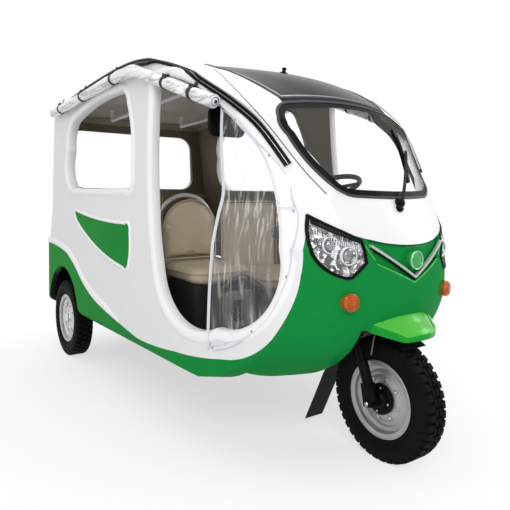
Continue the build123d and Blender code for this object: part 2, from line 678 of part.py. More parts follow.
def nose_group(outer):
    """Beak, headlamps, indicators, badge disc, wiper and the lamps at the rear."""
    pieces = {}
    root = Plane(origin=(0, -60, 0), x_dir=(1, 0, 0), z_dir=(0, -1, 0))
    tip = Plane(origin=(0, -BEAK_REACH, 0), x_dir=(1, 0, 0), z_dir=(0, -1, 0))
    back = make_face(Polyline((-188, 600), (188, 600), (197, 643), (70, 706), (-70, 706),
                              (-197, 643), close=True))
    front = make_face(Polyline((-92, 566), (92, 566), (95, 592), (40, 597), (-40, 597),
                               (-95, 592), close=True))
    pieces["beak"] = loft([root * back, tip * front], ruled=True) - outer
    lamp = front_cutter(HEADLAMP, (-400, 300))
    lens = (outer - hull(LAMP_DEPTH)) & lamp
    pieces["headlamp_right"], pieces["headlamp_left"] = both_sides(lens)
    skin = hull(-CUSHION_GAP - TRIM_PROUD) - hull(-CUSHION_GAP)
    narrow, wide = LAMP_FRAME
    ring = front_cutter(HEADLAMP, (-400, 300), wide) - front_cutter(HEADLAMP, (-400, 300), narrow)
    right, left = both_sides(skin & ring)
    pieces["headlamp_trim"] = right + left
    recess = front_cutter(RECESS, (-400, 100))
    floor = hull(RECESS_DEPTH)
    pieces["nose_recess"] = (outer - floor) & recess
    bars = hull(-TRIM_PROUD) - floor
    pieces["nose_trim"] = bars & recess & front_cutter(NOSE_TRIM, (-400, 100))
    signals = Part()
    for x in (-SIGNAL_X, SIGNAL_X):
        signals += Pos(x, -70, SIGNAL_Z) * (Rot(90, 0, 0) * Cylinder(37, 60))
    pieces["turn_signals"] = signals - outer
    disc_shape = Pos(0, -140, 897) * (Rot(90, 0, 0) * Cylinder(37, 26))
    pieces["badge_disc"] = disc_shape - floor
    arm = tube_between((-8, -70, 1134), (120, 8, 1270), 6)
    arm += tube_between((120, 8, 1270), (185, 62, 1365), 5)
    arm += tube_between((108, -18, 1225), (215, 130, 1480), 4)
    arm += tube_between((-8, -40, 1134), (-8, -78, 1134), 17)
    pieces["wiper"] = arm - outer
    lamps = Part()
    for x in (-560, 560):
        lamps += rounded_box((x - 45, x + 45), (REAR_REACH - 30, REAR_REACH - 1), (600, 740), 20,
                             Axis.Y)
    pieces["tail_lamps"] = lamps
    plate = rounded_box((-150, 150), (REAR_REACH - PLATE_THICK - 1, REAR_REACH - 1), (640, 760), 12,
                        Axis.Y)
    pieces["number_plate"] = plate
    return pieces


def main():
    os.makedirs("parts", exist_ok=True)
    outer = hull(0)
    inner = hull(WALL)
    pieces = body_group(outer, inner)
    pieces.update(floor_group(inner))
    pieces.update(fork_group())
    pieces.update(wheel_group())
    pieces.update(axle_group())
    pieces.update(seat_group())
    pieces.update(trim_group(outer, inner))
    for cut, hosts in (("headlamp_right", ("nose_shell", "hood", "side_right")),
                       ("headlamp_left", ("nose_shell", "hood", "side_left")),
                       ("tail_lamps", ("skirt_rear",)),
                       ("number_plate", ("skirt_rear",))):
        for host in hosts:
            pieces[host] = pieces[host] - pieces[cut]
    pieces["nose_shell"] = pieces["nose_shell"] - pieces.pop("nose_recess")
    for name, shape in pieces.items():
        export(shape, name)


if __name__ == "__main__":
    main()
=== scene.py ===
import bpy
import json
import math
from mathutils import Matrix, Vector
from mathutils.bvhtree import BVHTree


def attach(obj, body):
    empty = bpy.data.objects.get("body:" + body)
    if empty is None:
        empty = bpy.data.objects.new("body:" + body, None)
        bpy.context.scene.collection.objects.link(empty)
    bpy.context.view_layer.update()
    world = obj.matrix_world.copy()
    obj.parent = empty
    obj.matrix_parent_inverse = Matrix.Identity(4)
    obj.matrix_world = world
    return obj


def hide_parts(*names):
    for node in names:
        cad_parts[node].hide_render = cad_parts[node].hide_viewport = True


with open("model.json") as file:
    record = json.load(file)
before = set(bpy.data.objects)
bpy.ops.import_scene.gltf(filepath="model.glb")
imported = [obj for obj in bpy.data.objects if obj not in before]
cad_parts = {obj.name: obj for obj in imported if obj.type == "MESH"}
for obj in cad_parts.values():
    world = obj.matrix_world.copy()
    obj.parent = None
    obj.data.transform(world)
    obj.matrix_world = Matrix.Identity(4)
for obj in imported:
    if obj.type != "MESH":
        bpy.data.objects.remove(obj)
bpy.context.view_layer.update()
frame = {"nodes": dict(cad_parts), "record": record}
NODES = frame["nodes"]

# ------------------------------------------------------------------ named sizes
# Places along Y in this file are measured from the front axle, as in the vehicle's
# drawings, and at() brings them into the frame.  Metres.
MIDDLE = 1.32375
WHEELBASE = 2.450
AXLE_Z = 0.2725
REAR_X = 0.622
LUG_COUNT = 42
SIDES = ((-1, "right"), (1, "left"))

CAMERA_AT = (-1.880, -1.605, 1.152)
CAMERA_YAW = 0.628
CAMERA_PITCH = 0.023
CAMERA_ROLL = 0.003
CAMERA_LENS = 38.38
CAMERA_SHIFT = (-0.0049, -0.0853)

# Outlines, as a start and rows of (middle, end) for arcs or (end) for straight runs.
DOOR = ((1.016, 1.770), [
    (1.008, 1.400, 0.912, 0.798), (0.822, 0.628, 0.455, 0.570), (0.215, 0.650, 0.113, 0.896),
    (0.195, 1.205, 0.371, 1.468), (0.530, 1.600, 0.720, 1.715), (0.880, 1.767, 1.016, 1.770)])
REAR_WINDOW = ((2.410, 1.500), [
    (2.400, 1.650, 2.300, 1.715), (2.000, 1.770, 1.500, 1.785), (1.400, 1.770, 1.340, 1.690),
    (1.255, 1.480, 1.241, 1.300), (1.255, 1.215, 1.330, 1.208), (1.800, 1.210, 2.241, 1.219),
    (2.370, 1.270, 2.410, 1.500)])
FIN = ((2.206, 1.069), [
    (1.806, 1.025, 1.300, 1.008), (1.245, 1.000, 1.237, 0.960), (1.232, 0.870, 1.250, 0.800),
    (1.275, 0.765, 1.330, 0.768), (1.750, 0.850, 2.154, 1.010), (2.206, 1.069)])
HEADLAMP = ((-0.435, 0.945), [
    (-0.436, 1.010, -0.417, 1.091), (-0.330, 1.030, -0.254, 0.988), (-0.239, 0.894),
    (-0.297, 0.834), (-0.319, 0.832), (-0.400, 0.880, -0.435, 0.945)])
WINDSHIELD_EDGE = ((-0.2215, 1.1660), [
    (0, 1.160, 0.2215, 1.1660), (0.2765, 1.1827, 0.3166, 1.2230), (0.3640, 1.3120, 0.402, 1.430),
    (0.415, 1.510, 0.340, 1.582), (0, 1.605, -0.340, 1.582), (-0.415, 1.510, -0.402, 1.430),
    (-0.3640, 1.3120, -0.3166, 1.2230), (-0.2765, 1.1827, -0.2215, 1.1660)])
ROOF_LIGHT = ((-0.338, 0.340), [
    (0, 0.300, 0.338, 0.340), (0.388, 0.520, 0.402, 0.702), (0.385, 0.890, 0.300, 1.070),
    (0, 1.110, -0.300, 1.070), (-0.385, 0.890, -0.402, 0.702), (-0.388, 0.520, -0.338, 0.340)])
# Joint line between the front frame and the right side, (x, y, z).
SEAM = [(-0.333, 0.040, 1.170), (-0.422, 0.131, 1.316), (-0.464, 0.256, 1.460),
        (-0.496, 0.413, 1.607), (-0.500, 0.544, 1.705), (-0.482, 0.630, 1.755),
        (-0.460, 0.731, 1.804)]
RAIL = [(-0.462, 0.170, 1.323), (-0.497, 0.300, 1.478), (-0.540, 0.442, 1.592),
        (-0.583, 0.590, 1.688), (-0.622, 0.790, 1.800), (-0.648, 1.060, 1.874),
        (-0.650, 1.400, 1.908), (-0.650, 2.000, 1.888), (-0.650, 2.815, 1.820)]
ROLL = [(-0.600, 0.492, 1.590), (-0.645, 0.850, 1.722), (-0.676, 1.150, 1.832),
        (-0.682, 1.300, 1.853), (-0.685, 1.700, 1.842), (-0.690, 2.680, 1.800)]
ROLL_RADIUS = 0.0325
ROLL_STRAPS = (0.665, 0.886, 1.470, 2.016, 2.491)       # y of each strap
# Clear sheet hung in the right door: its free rear edge, then its snapped edge, (y, z).
SHEET_REAR = [(0.520, 1.575), (0.479, 1.395), (0.432, 1.191), (0.445, 1.081), (0.460, 0.969),
              (0.481, 0.744), (0.493, 0.476)]
SHEET_FRONT = [(0.519, 1.571), (0.423, 1.506), (0.232, 1.337), (0.150, 1.215), (0.112, 1.140),
               (0.090, 1.080), (0.075, 0.948), (0.088, 0.840), (0.144, 0.700), (0.232, 0.602),
               (0.360, 0.519), (0.461, 0.484)]
SHEET_SNAPS = [(0.461, 0.490), (0.240, 0.598), (0.088, 0.840), (0.104, 1.105), (0.232, 1.337),
               (0.423, 1.506), (0.510, 1.562)]
CAB_CENTRE = Vector((0, -0.05, 1.05))

# Plan of the body at several heights: z, half width, bow radius, y where the bow ends,
# corner radius.
BOW_START = 1.126
PLAN = [(0.300, 0.691, 3.104, 0.150, 0.206), (0.950, 0.691, 3.104, 0.150, 0.206),
        (1.140, 0.683, 2.600, 0.200, 0.206), (1.330, 0.676, 2.150, 0.250, 0.150),
        (1.990, 0.642, 2.000, 0.650, 0.150)]


def at(x, y, z):
    """A point given from the front axle, in the frame."""
    return Vector((x, y - MIDDLE, z))


def plan_x(row, y):
    _, half, bow, bow_end, corner = row
    if y >= BOW_START:
        return half
    turn = math.asin((BOW_START - bow_end) / bow)
    if y >= bow_end:
        return half - bow + math.sqrt(bow * bow - (BOW_START - y) ** 2)
    px = half - bow + bow * math.cos(turn)
    py = BOW_START - bow * math.sin(turn)
    cx = px - corner * math.cos(turn)
    cy = py + corner * math.sin(turn)
    return cx + math.sqrt(max(corner ** 2 - (cy - y) ** 2, 0))


def side_x(y, z):
    """Half width of the body at a place on its side."""
    for low, high in zip(PLAN, PLAN[1:]):
        if z <= high[0]:
            k = max(0, (z - low[0]) / (high[0] - low[0]))
            return plan_x(low, y) * (1 - k) + plan_x(high, y) * k
    return plan_x(PLAN[-1], y)


# ---------------------------------------------------------------- outline helpers
def arc(a, b, c, step):
    """Points after a along the arc a, b, c."""
    ax, ay = a
    bx, by = b
    cx, cy = c
    d = 2 * (ax * (by - cy) + bx * (cy - ay) + cx * (ay - by))
    if abs(d) < 1e-9:
        count = max(2, int(math.dist(a, c) / step))
        return [(ax + (cx - ax) * i / count, ay + (cy - ay) * i / count)
                for i in range(1, count + 1)]
    sa, sb, sc = ax * ax + ay * ay, bx * bx + by * by, cx * cx + cy * cy
    ux = (sa * (by - cy) + sb * (cy - ay) + sc * (ay - by)) / d
    uy = (sa * (cx - bx) + sb * (ax - cx) + sc * (bx - ax)) / d
    radius = math.hypot(ax - ux, ay - uy)
    t0 = math.atan2(ay - uy, ax - ux)
    t1 = math.atan2(by - uy, bx - ux)
    t2 = math.atan2(cy - uy, cx - ux)
    turn = (t2 - t0) % (2 * math.pi)
    if not 0 < (t1 - t0) % (2 * math.pi) < turn:
        turn -= 2 * math.pi
    count = max(2, int(abs(turn) * radius / step))
    return [(ux + radius * math.cos(t0 + turn * i / count),
             uy + radius * math.sin(t0 + turn * i / count)) for i in range(1, count + 1)]


def outline_points(outline, step=0.012):
    start, rows = outline
    points = [start]
    for row in rows:
        here = points[-1]
        if len(row) == 4:
            points += arc(here, row[:2], row[2:], step)
        else:
            count = max(1, int(math.dist(here, row) / step))
            points += [(here[0] + (row[0] - here[0]) * i / count,
                        here[1] + (row[1] - here[1]) * i / count) for i in range(1, count + 1)]
    if math.dist(points[0], points[-1]) < 1e-4:
        points.pop()
    return points


def outward_normals(points, closed=True, smooth=2):
    """Unit normals of a 2-D outline, away from its inside."""
    area = sum(a[0] * b[1] - b[0] * a[1] for a, b in zip(points, points[1:] + points[:1]))
    sign = 1 if area > 0 else -1
    count = len(points)
    normals = []
    for i in range(count):
        back, ahead = i - smooth, i + smooth
        if closed:
            a, b = points[back % count], points[ahead % count]
        else:
            a, b = points[max(back, 0)], points[min(ahead, count - 1)]
        dx, dy = b[0] - a[0], b[1] - a[1]
        size = math.hypot(dx, dy) or 1
        normals.append((sign * dy / size, -sign * dx / size))
    return normals


def smooth_path(points, per=8):
    """Catmull-Rom points through a list of vectors."""
    points = [Vector(p) for p in points]
    result = []
    count = len(points)
    for i in range(count - 1):
        p0 = points[max(i - 1, 0)]
        p1, p2 = points[i], points[i + 1]
        p3 = points[min(i + 2, count - 1)]
        for k in range(per):
            t = k / per
            result.append(0.5 * ((2 * p1) + (p2 - p0) * t + (2 * p0 - 5 * p1 + 4 * p2 - p3) * t * t
                                 + (3 * p1 - p0 - 3 * p2 + p3) * t ** 3))
    result.append(points[-1])
    return result


# ------------------------------------------------------------------- materials
def linear(red, green, blue):
    """Linear colour from 0-255 display values."""
    def one(value):
        value = value / 255
        return value / 12.92 if value <= 0.04045 else ((value + 0.055) / 1.055) ** 2.4
    return (one(red), one(green), one(blue))


def scaled(colour, by):
    return tuple(min(1.0, c * by) for c in colour)


def new_material(name):
    material = bpy.data.materials.new(name)
    material.use_nodes = True
    tree = material.node_tree
    return material, tree, tree.nodes["Principled BSDF"]


def set_inputs(tree, node, inputs):
    """Each input is a number, a colour, a vector or another node's output."""
    for socket, value in inputs.items():
        if isinstance(value, bpy.types.NodeSocket):
            tree.links.new(value, node.inputs[socket])
        else:
            node.inputs[socket].default_value = value


def new_node(tree, kind, inputs, operation=None):
    node = tree.nodes.new("ShaderNode" + kind)
    if operation:
        node.operation = operation
    set_inputs(tree, node, inputs)
    return node


def place(tree, output="Object"):
    """Place in object space, or the normal there."""
    return tree.nodes.new("ShaderNodeTexCoord").outputs[output]


def noise(tree, scale, detail=4.0, stretch=None):
    """Noise in object space, in features per metre."""
    where = place(tree)
    if stretch:
        where = new_node(tree, "Mapping", {"Vector": where, "Scale": stretch}).outputs["Vector"]
    inputs = {"Vector": where, "Scale": scale, "Detail": detail}
    return new_node(tree, "TexNoise", inputs).outputs["Fac"]


def colour_stops(tree, source, stops):
    """Colour ramp through stops of (place, colour)."""
    node = new_node(tree, "ValToRGB", {"Fac": source})
    elements = node.color_ramp.elements
    for i, (stop, colour) in enumerate(stops):
        if i > 1:
            elements.new(stop)
        elements[i].position = stop
        elements[i].color = (*colour, 1)
    return node.outputs["Color"]


def ramp(tree, source, low, high, start=0.3, end=0.7):
    return colour_stops(tree, source, ((start, low), (end, high)))


def spread(tree, source, low, high, start=0.3, end=0.7):
    """A value brought from start...end to low...high."""
    return new_node(tree, "MapRange", {"Value": source, "From Min": start, "From Max": end,
                                       "To Min": low, "To Max": high}).outputs["Result"]


def mixed(tree, mask, first, second):
    """Colour mix by a mask."""
    node = tree.nodes.new("ShaderNodeMix")
    node.data_type = "RGBA"
    set_inputs(tree, node, {"Factor": mask, 6: first, 7: second})
    return node.outputs[2]


def bump(tree, shader, source, strength, distance):
    node = new_node(tree, "Bump", {"Strength": strength, "Distance": distance, "Height": source})
    tree.links.new(node.outputs["Normal"], shader.inputs["Normal"])


def inner_mask(tree):
    """1 on faces that look into the cab, 0 on the outside and on edges."""
    away = new_node(tree, "VectorMath", {0: place(tree), 1: CAB_CENTRE}, "SUBTRACT")
    unit = new_node(tree, "VectorMath", {0: away.outputs["Vector"]}, "NORMALIZE")
    dot = new_node(tree, "VectorMath", {0: unit.outputs["Vector"], 1: place(tree, "Normal")},
                   "DOT_PRODUCT")
    return spread(tree, dot.outputs["Value"], 1.0, 0.0, -0.30, -0.22)


def surface(name, colour, vary, rough, metal=0.0, coat=0.0, grain=40.0, bumps=None, alpha=None,
            stretch=None, inside=None, specular=None, rear=None):
    """Procedural surface.  vary is the spread of the colour, grain the noise's scale per
    metre, bumps (scale, strength, distance), inside the colour of faces inside the cab and
    rear the colour towards the vehicle's rear."""
    material, tree, shader = new_material(name)
    broad = noise(tree, grain * 0.12, 3.0, stretch)
    fine = noise(tree, grain, 5.0, stretch)

    def varied(base, by):
        base = base if max(base) <= 1 else linear(*base)
        return ramp(tree, broad, scaled(base, 1 - by), scaled(base, 1 + by))

    colour_out = varied(colour, vary)
    rough_out = spread(tree, fine, *rough)
    if rear:
        along = new_node(tree, "SeparateXYZ", {0: place(tree)}).outputs["Y"]
        colour_out = mixed(tree, spread(tree, along, 0.0, 1.0, -1.1, 1.1), colour_out,
                           varied(rear, vary))
    if inside:
        mask = inner_mask(tree)
        colour_out = mixed(tree, mask, colour_out, varied(inside, 0.07))
        rough_out = new_node(tree, "Math", {0: mask, 1: 0.35, 2: rough_out},
                             "MULTIPLY_ADD").outputs[0]
    set_inputs(tree, shader, {"Base Color": colour_out, "Roughness": rough_out,
                              "Metallic": metal, "Coat Weight": coat, "Coat Roughness": 0.05})
    for socket, value in (("Specular IOR Level", specular), ("Alpha", alpha)):
        if value is not None:
            shader.inputs[socket].default_value = value
    if bumps:
        scale, strength, distance = bumps
        bump(tree, shader, noise(tree, scale, 3.0, stretch), strength, distance)
    return material


def clear_sheet_material():
    """Clear vinyl: nearly see-through, with whitish streaks that run down it."""
    material, tree, shader = new_material("clear_vinyl")
    streaks = noise(tree, 9.0, 6.0, (6.0, 6.0, 0.55))
    blotches = noise(tree, 5.0, 3.0)
    many = new_node(tree, "Math", {0: spread(tree, streaks, 0.0, 1.0, 0.50, 0.72),
                                   1: spread(tree, blotches, 0.15, 1.0, 0.40, 0.62)}, "MULTIPLY")
    set_inputs(tree, shader, {
        "Alpha": spread(tree, many.outputs[0], 0.07, 0.62, 0.0, 1.0),
        "Base Color": ramp(tree, streaks, (0.75, 0.76, 0.77), (0.95, 0.95, 0.95)),
        "Roughness": spread(tree, streaks, 0.12, 0.32)})
    bump(tree, shader, streaks, 0.5, 0.004)
    return material


def rolled_vinyl_material():
    """Clear vinyl rolled up: bright, with folds along the roll that are bumped and painted grey as
    their shade.
    """
    material, tree, shader = new_material("curtain_vinyl")
    creases_and_shade = noise(tree, 15.0, 3.0, (1.6, 0.16, 1.6))
    # the dark stops are painted shade in the folds
    stops = [(stop, (tone, tone, tone * 1.01)) for stop, tone in (
        (0.0, 0.74), (0.38, 0.86), (0.44, 0.42), (0.49, 0.80), (0.58, 0.92), (0.64, 0.56),
        (0.72, 0.90))]
    set_inputs(tree, shader, {"Base Color": colour_stops(tree, creases_and_shade, stops),
                              "Roughness": spread(tree, noise(tree, 60, 3.0), 0.08, 0.26)})
    bump(tree, shader, creases_and_shade, 0.6, 0.004)
    return material


def reflector_material():
    """Metallised facets of a headlamp's reflector, each facet painted a grey between black and
    white as a painted reflection.
    """
    material, tree, shader = new_material("reflector")
    facets_and_reflections = new_node(tree, "TexVoronoi", {"Vector": place(tree), "Scale": 58})
    set_inputs(tree, shader, {
        "Base Color": ramp(tree, facets_and_reflections.outputs["Color"], (0.015, 0.015, 0.015),
                           (0.95, 0.95, 0.95), 0.36, 0.68),
        "Roughness": spread(tree, noise(tree, 120), 0.06, 0.18), "Metallic": 0.55})
    bump(tree, shader, facets_and_reflections.outputs["Distance"], 0.8, 0.01)
    return material


# Colour in display values of 0-255, or in linear ones up to 1, its spread, the roughness from
# low to high, then what a surface has beyond that.
SURFACES = {
    "body_green": ((16, 130, 58), 0.04, (0.30, 0.40),
                   dict(coat=0.08, grain=30, inside=(40, 38, 35), specular=0.0,
                        rear=(40, 142, 56))),
    "body_green_plain": ((20, 150, 46), 0.04, (0.24, 0.32),
                         dict(coat=0.10, grain=30, specular=0.04)),
    # Nose crease: the body's green painted lighter, as the highlight on the edge of the pressed
    # field.
    "crease_green": ((48, 172, 64), 0.04, (0.22, 0.30), dict(coat=0.1, grain=60, specular=0.2)),
    # Beak top: the beak's green painted lighter on its top, as its highlight.
    "beak_green": ((72, 186, 56), 0.05, (0.16, 0.22), dict(coat=0.30, grain=30, specular=0.2)),
    "badge_green": ((40, 150, 72), 0.05, (0.2, 0.3), dict(coat=0.3, grain=60, specular=0.3)),
    "body_white": ((226, 226, 227), 0.010, (0.34, 0.44),
                   dict(coat=0.10, grain=30, inside=(118, 110, 94), specular=0.25)),
    "roof_white": ((226, 226, 227), 0.010, (0.34, 0.44),
                   dict(coat=0.10, grain=30, inside=(168, 163, 152), specular=0.25)),
    # Lips and beads round the openings: the body's white painted lighter, as their highlight.
    "lip_white": ((238, 238, 239), 0.008, (0.40, 0.48), dict(grain=30, specular=0.10)),
    "hem_white": ((216, 218, 224), 0.06, (0.3, 0.45), dict(grain=120, bumps=(500, 0.3, 0.0006))),
    "plate_white": ((210, 210, 208), 0.03, (0.35, 0.45), dict(grain=60)),
    "clear_glass": ((0.93, 0.95, 0.95), 0.01, (0.03, 0.05),
                    dict(alpha=0.02, grain=10, specular=0.04)),
    "tinted_glass": ((34, 35, 34), 0.45, (0.20, 0.30),
                     dict(grain=60, stretch=(6, 0.35, 1), specular=0.06)),
    "lamp_lens": ((0.95, 0.96, 0.97), 0.01, (0.02, 0.05), dict(alpha=0.12, grain=20)),
    "projector": ((120, 124, 128), 0.5, (0.02, 0.06), dict(metal=0.7, coat=1.0, grain=260)),
    "amber_lens": ((176, 80, 8), 0.30, (0.15, 0.25), dict(coat=0.2, grain=260, specular=0.3)),
    "red_lens": ((150, 24, 20), 0.08, (0.15, 0.25), dict(coat=0.6, grain=200)),
    "mirror": ((120, 116, 108), 0.1, (0.1, 0.2), dict(metal=0.8, grain=20)),
    "beige_vinyl": ((176, 162, 138), 0.04, (0.4, 0.52),
                    dict(coat=0.08, grain=60, bumps=(900, 0.35, 0.0005))),
    "cab_grey": ((36, 36, 35), 0.15, (0.5, 0.65),
                 dict(grain=300, specular=0.1, bumps=(700, 0.35, 0.0006))),
    "black_frame": ((11, 11, 12), 0.2, (0.34, 0.5),
                    dict(grain=90, specular=0.07, bumps=(350, 0.12, 0.0005))),
    "black_plastic": ((12, 12, 13), 0.12, (0.36, 0.5),
                      dict(grain=200, specular=0.07, bumps=(900, 0.2, 0.0004))),
    "strap_black": ((18, 18, 19), 0.2, (0.5, 0.7), dict(grain=300, bumps=(1500, 0.5, 0.0005))),
    # Black of the hubs, the wiper arm and the lamp rings, and the painted shade under the nose bar
    # and in the rear discs' openings.
    "hub_black": ((9, 9, 9), 0.2, (0.35, 0.5),
                  dict(grain=90, specular=0.08, bumps=(300, 0.2, 0.0005))),
    "joint_dark": ((58, 59, 61), 0.1, (0.4, 0.5), dict(grain=90, specular=0.2)),
    "tyre": ((15, 15, 16), 0.25, (0.6, 0.8),
             dict(grain=120, specular=0.07, bumps=(260, 0.3, 0.0008))),
    "steel": ((176, 178, 180), 0.06, (0.22, 0.34),
              dict(metal=1.0, grain=200, stretch=(1, 1, 14))),
    "steel_grey": ((104, 103, 100), 0.10, (0.35, 0.5),
                   dict(grain=90, bumps=(300, 0.15, 0.0005))),
    "tube_grey": ((186, 187, 186), 0.04, (0.24, 0.34), dict(metal=0.2, grain=90, coat=0.2)),
    "rim_grey": ((164, 165, 166), 0.08, (0.28, 0.40),
                 dict(metal=0.6, grain=120, bumps=(500, 0.1, 0.0004))),
    "rim_bright": ((214, 215, 216), 0.05, (0.3, 0.4),
                   dict(metal=0.2, grain=120, bumps=(500, 0.1, 0.0004))),
    "bar_grey": ((186, 187, 188), 0.06, (0.22, 0.32), dict(metal=0.35, grain=90, specular=0.3)),
    # Pale metal of the rail's edge and the roof light's border, and the painted highlight in the
    # rail's middle channel.
    "groove": ((150, 152, 154), 0.08, (0.3, 0.45), dict(metal=0.6, grain=90)),
    "badge_rim": ((150, 205, 160), 0.06, (0.1, 0.2), dict(metal=0.4, coat=0.3, grain=90)),
    "bright_trim": ((196, 198, 200), 0.04, (0.14, 0.24), dict(metal=1.0, grain=80)),
    "chrome": ((225, 227, 230), 0.05, (0.04, 0.12), dict(metal=1.0, grain=60)),
}


MATERIALS = {name: surface(name, *row, **more) for name, (*row, more) in SURFACES.items()}
MATERIALS["curtain_vinyl"] = rolled_vinyl_material()
MATERIALS["clear_vinyl"] = clear_sheet_material()
MATERIALS["reflector"] = reflector_material()

# CAD nodes whose finish is another than their slot's own, then what each finish beyond the
# slots is a kind of.
NODE_FINISH = {"grab_rails": "hem_white", "seat_hoop": "tube_grey", "roof_panel": "roof_white"}
SLOT_OF = {"body_green_plain": "body_green", "crease_green": "body_green",
           "lip_white": "body_white", "hem_white": "curtain_vinyl", "projector": "lamp_lens",
           "mirror": "bright_trim", "strap_black": "black_plastic", "hub_black": "black_plastic",
           "joint_dark": "black_plastic", "rim_bright": "rim_grey", "bar_grey": "bright_trim",
           "groove": "bright_trim", "badge_rim": "bright_trim", "chrome": "bright_trim",
           "reflector": "bright_trim"}
for row in frame["record"]["subparts"]:
    materials = NODES[row["node"]].data.materials
    materials.clear()
    materials.append(MATERIALS[NODE_FINISH.get(row["node"], row["material_slot"])])


# ---------------------------------------------------------------- mesh helpers
def piece(name, verts, faces, material, body="chassis", slot=None, smooth=True, split=40):
    """A mesh piece of the vehicle, riding on a body; split is the angle of its sharp edges."""
    mesh = bpy.data.meshes.new(name)
    mesh.from_pydata([tuple(v) for v in verts], [], faces)
    mesh.validate()
    mesh.update()
    obj = bpy.data.objects.new(name, mesh)
    bpy.context.scene.collection.objects.link(obj)
    mesh.materials.append(MATERIALS[material])
    if smooth:
        mesh.shade_smooth()
        if split:
            mesh.set_sharp_from_angle(angle=math.radians(split))
    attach(obj, body)
    slot or SLOT_OF.get(material, material)
    return obj


def grid_faces(rows, columns, closed_rows=False, closed_columns=False):
    faces = []
    for i in range(rows if closed_rows else rows - 1):
        here, ahead = i * columns, (i + 1) % rows * columns
        for j in range(columns if closed_columns else columns - 1):
            k = (j + 1) % columns
            faces.append((here + j, here + k, ahead + k, ahead + j))
    return faces


def end_faces(rows, columns):
    """Caps of a tube of rows rings."""
    return [tuple(reversed(range(columns))), tuple(range((rows - 1) * columns, rows * columns))]


def turned(faces):
    return [tuple(reversed(face)) for face in faces]


def frames_along(path, up):
    """(tangent, side, up) at each point of a path; up is one vector or one for each point."""
    result = []
    last = len(path) - 1
    for i in range(last + 1):
        tangent = (path[min(i + 1, last)] - path[max(i - 1, 0)]).normalized()
        side = tangent.cross(up[i] if isinstance(up, list) else up).normalized()
        result.append((tangent, side, side.cross(tangent).normalized()))
    return result


def swept(path, section, up, closed=False):
    """Verts and faces of a section, as (side, up) pairs, carried along a path."""
    verts = []
    for point, (_, side, lift) in zip(path, frames_along(path, up)):
        verts += [point + side * a + lift * b for a, b in section]
    faces = grid_faces(len(path), len(section), closed_rows=closed, closed_columns=True)
    return verts, faces if closed else faces + end_faces(len(path), len(section))


def ring_section(radius, count=16):
    angles = [2 * math.pi * i / count for i in range(count)]
    return [(radius * math.cos(a), radius * math.sin(a)) for a in angles]


def rod_section(wide, high):
    """Rectangle of half sizes wide and high."""
    return [(-wide, -high), (wide, -high), (wide, high), (-wide, high)]


def joined(parts):
    """Several (verts, faces) as one."""
    verts, faces = [], []
    for more_verts, more_faces in parts:
        start = len(verts)
        verts += more_verts
        faces += [tuple(i + start for i in face) for face in more_faces]
    return verts, faces


def both(verts, faces):
    """The piece and its mirror image, as one."""
    return joined([(verts, faces), ([Vector((-v[0], v[1], v[2])) for v in verts], turned(faces))])


def lathe(profile, centre, axis, count=48):
    """Surface turned about an axis through centre, from (radius, along) pairs."""
    axis = Vector(axis).normalized()
    side = axis.orthogonal().normalized()
    other = axis.cross(side)
    verts = []
    for i in range(count):
        a = 2 * math.pi * i / count
        way = side * math.cos(a) + other * math.sin(a)
        verts += [Vector(centre) + way * r + axis * h for r, h in profile]
    return verts, grid_faces(count, len(profile), closed_rows=True)


# Outer skin of the body, for pieces that lie on it.
SKIN_NODES = ["nose_shell", "skirt_left", "skirt_right", "skirt_rear", "hood", "side_left",
              "side_right", "rear_panel", "roof_panel", "front_frame", "windshield_glass",
              "roof_light", "insert_left", "insert_right", "headlamp_left", "headlamp_right"]


def skin_tree():
    verts, faces = [], []
    for name in SKIN_NODES:
        mesh = NODES[name].data
        start = len(verts)
        verts += [v.co.copy() for v in mesh.vertices]
        faces += [tuple(i + start for i in polygon.vertices) for polygon in mesh.polygons]
    return BVHTree.FromPolygons(verts, faces)


SKIN = skin_tree()


def cast(start, way):
    """(point, normal against the way) where a ray meets the skin."""
    hit, normal, _, _ = SKIN.ray_cast(start, way)
    if hit is not None and normal.dot(way) > 0:
        normal = -normal
    return hit, normal


def cast_near(point, way, back, reach):
    """The same for a ray from back before a point; the point itself if the skin is far."""
    hit, normal = cast(point - way * back, way)
    if hit is None or (hit - point).length > reach:
        return point, -way
    return hit, normal


def on_side(y, z, side):
    """Where the body's side is, not counting its openings."""
    guess = side * side_x(y, z)
    hit = cast(at(side * 2, y, z), Vector((-side, 0, 0)))[0]
    return guess if hit is None or abs(hit.x - guess) > 0.02 else hit.x


def skin_x(y, z, side):
    """Where the body's side is, also round its rear corner."""
    hit = cast(at(side * 2, y, z), Vector((-side, 0, 0)))[0]
    return side * side_x(y, z) if hit is None or abs(hit.x) < 0.45 else hit.x


def on_front(x, z):
    return cast(at(x, -3, z), Vector((0, 1, 0)))


def on_top(x, y):
    return cast(at(x, y, 4), Vector((0, 0, -1)))


def even(values, closed):
    """Values along a line with their jumps taken out: a median, then a running mean."""
    count = len(values)

    def near(row, i, reach=3):
        if closed:
            return [row[(i + k) % count] for k in range(-reach, reach + 1)]
        return [row[min(max(i + k, 0), count - 1)] for k in range(-reach, reach + 1)]

    calm = [sorted(near(values, i))[3] for i in range(count)]
    return [sum(near(calm, i)) / 7 for i in range(count)]


SEAT_OUT = 0.012            # nearest to an outline that the skin is measured


def side_band(line, ways, rows, side, skin, closed, fade=lambda i: 1.0):
    """Band along a line on the body's side: rows are (outward from it, above the skin)."""
    bases = [even([skin(y + ny * max(out, SEAT_OUT), z + nz * max(out, SEAT_OUT), side)
                   for (y, z), (ny, nz) in zip(line, ways)], closed) for out, _ in rows]
    verts = []
    for i, ((y, z), (ny, nz)) in enumerate(zip(line, ways)):
        k = fade(i)
        verts += [Vector((base[i] + side * lift * k, y + ny * out * k - MIDDLE, z + nz * out * k))
                  for (out, lift), base in zip(rows, bases)]
    return verts, grid_faces(len(line), len(rows), closed_rows=closed)


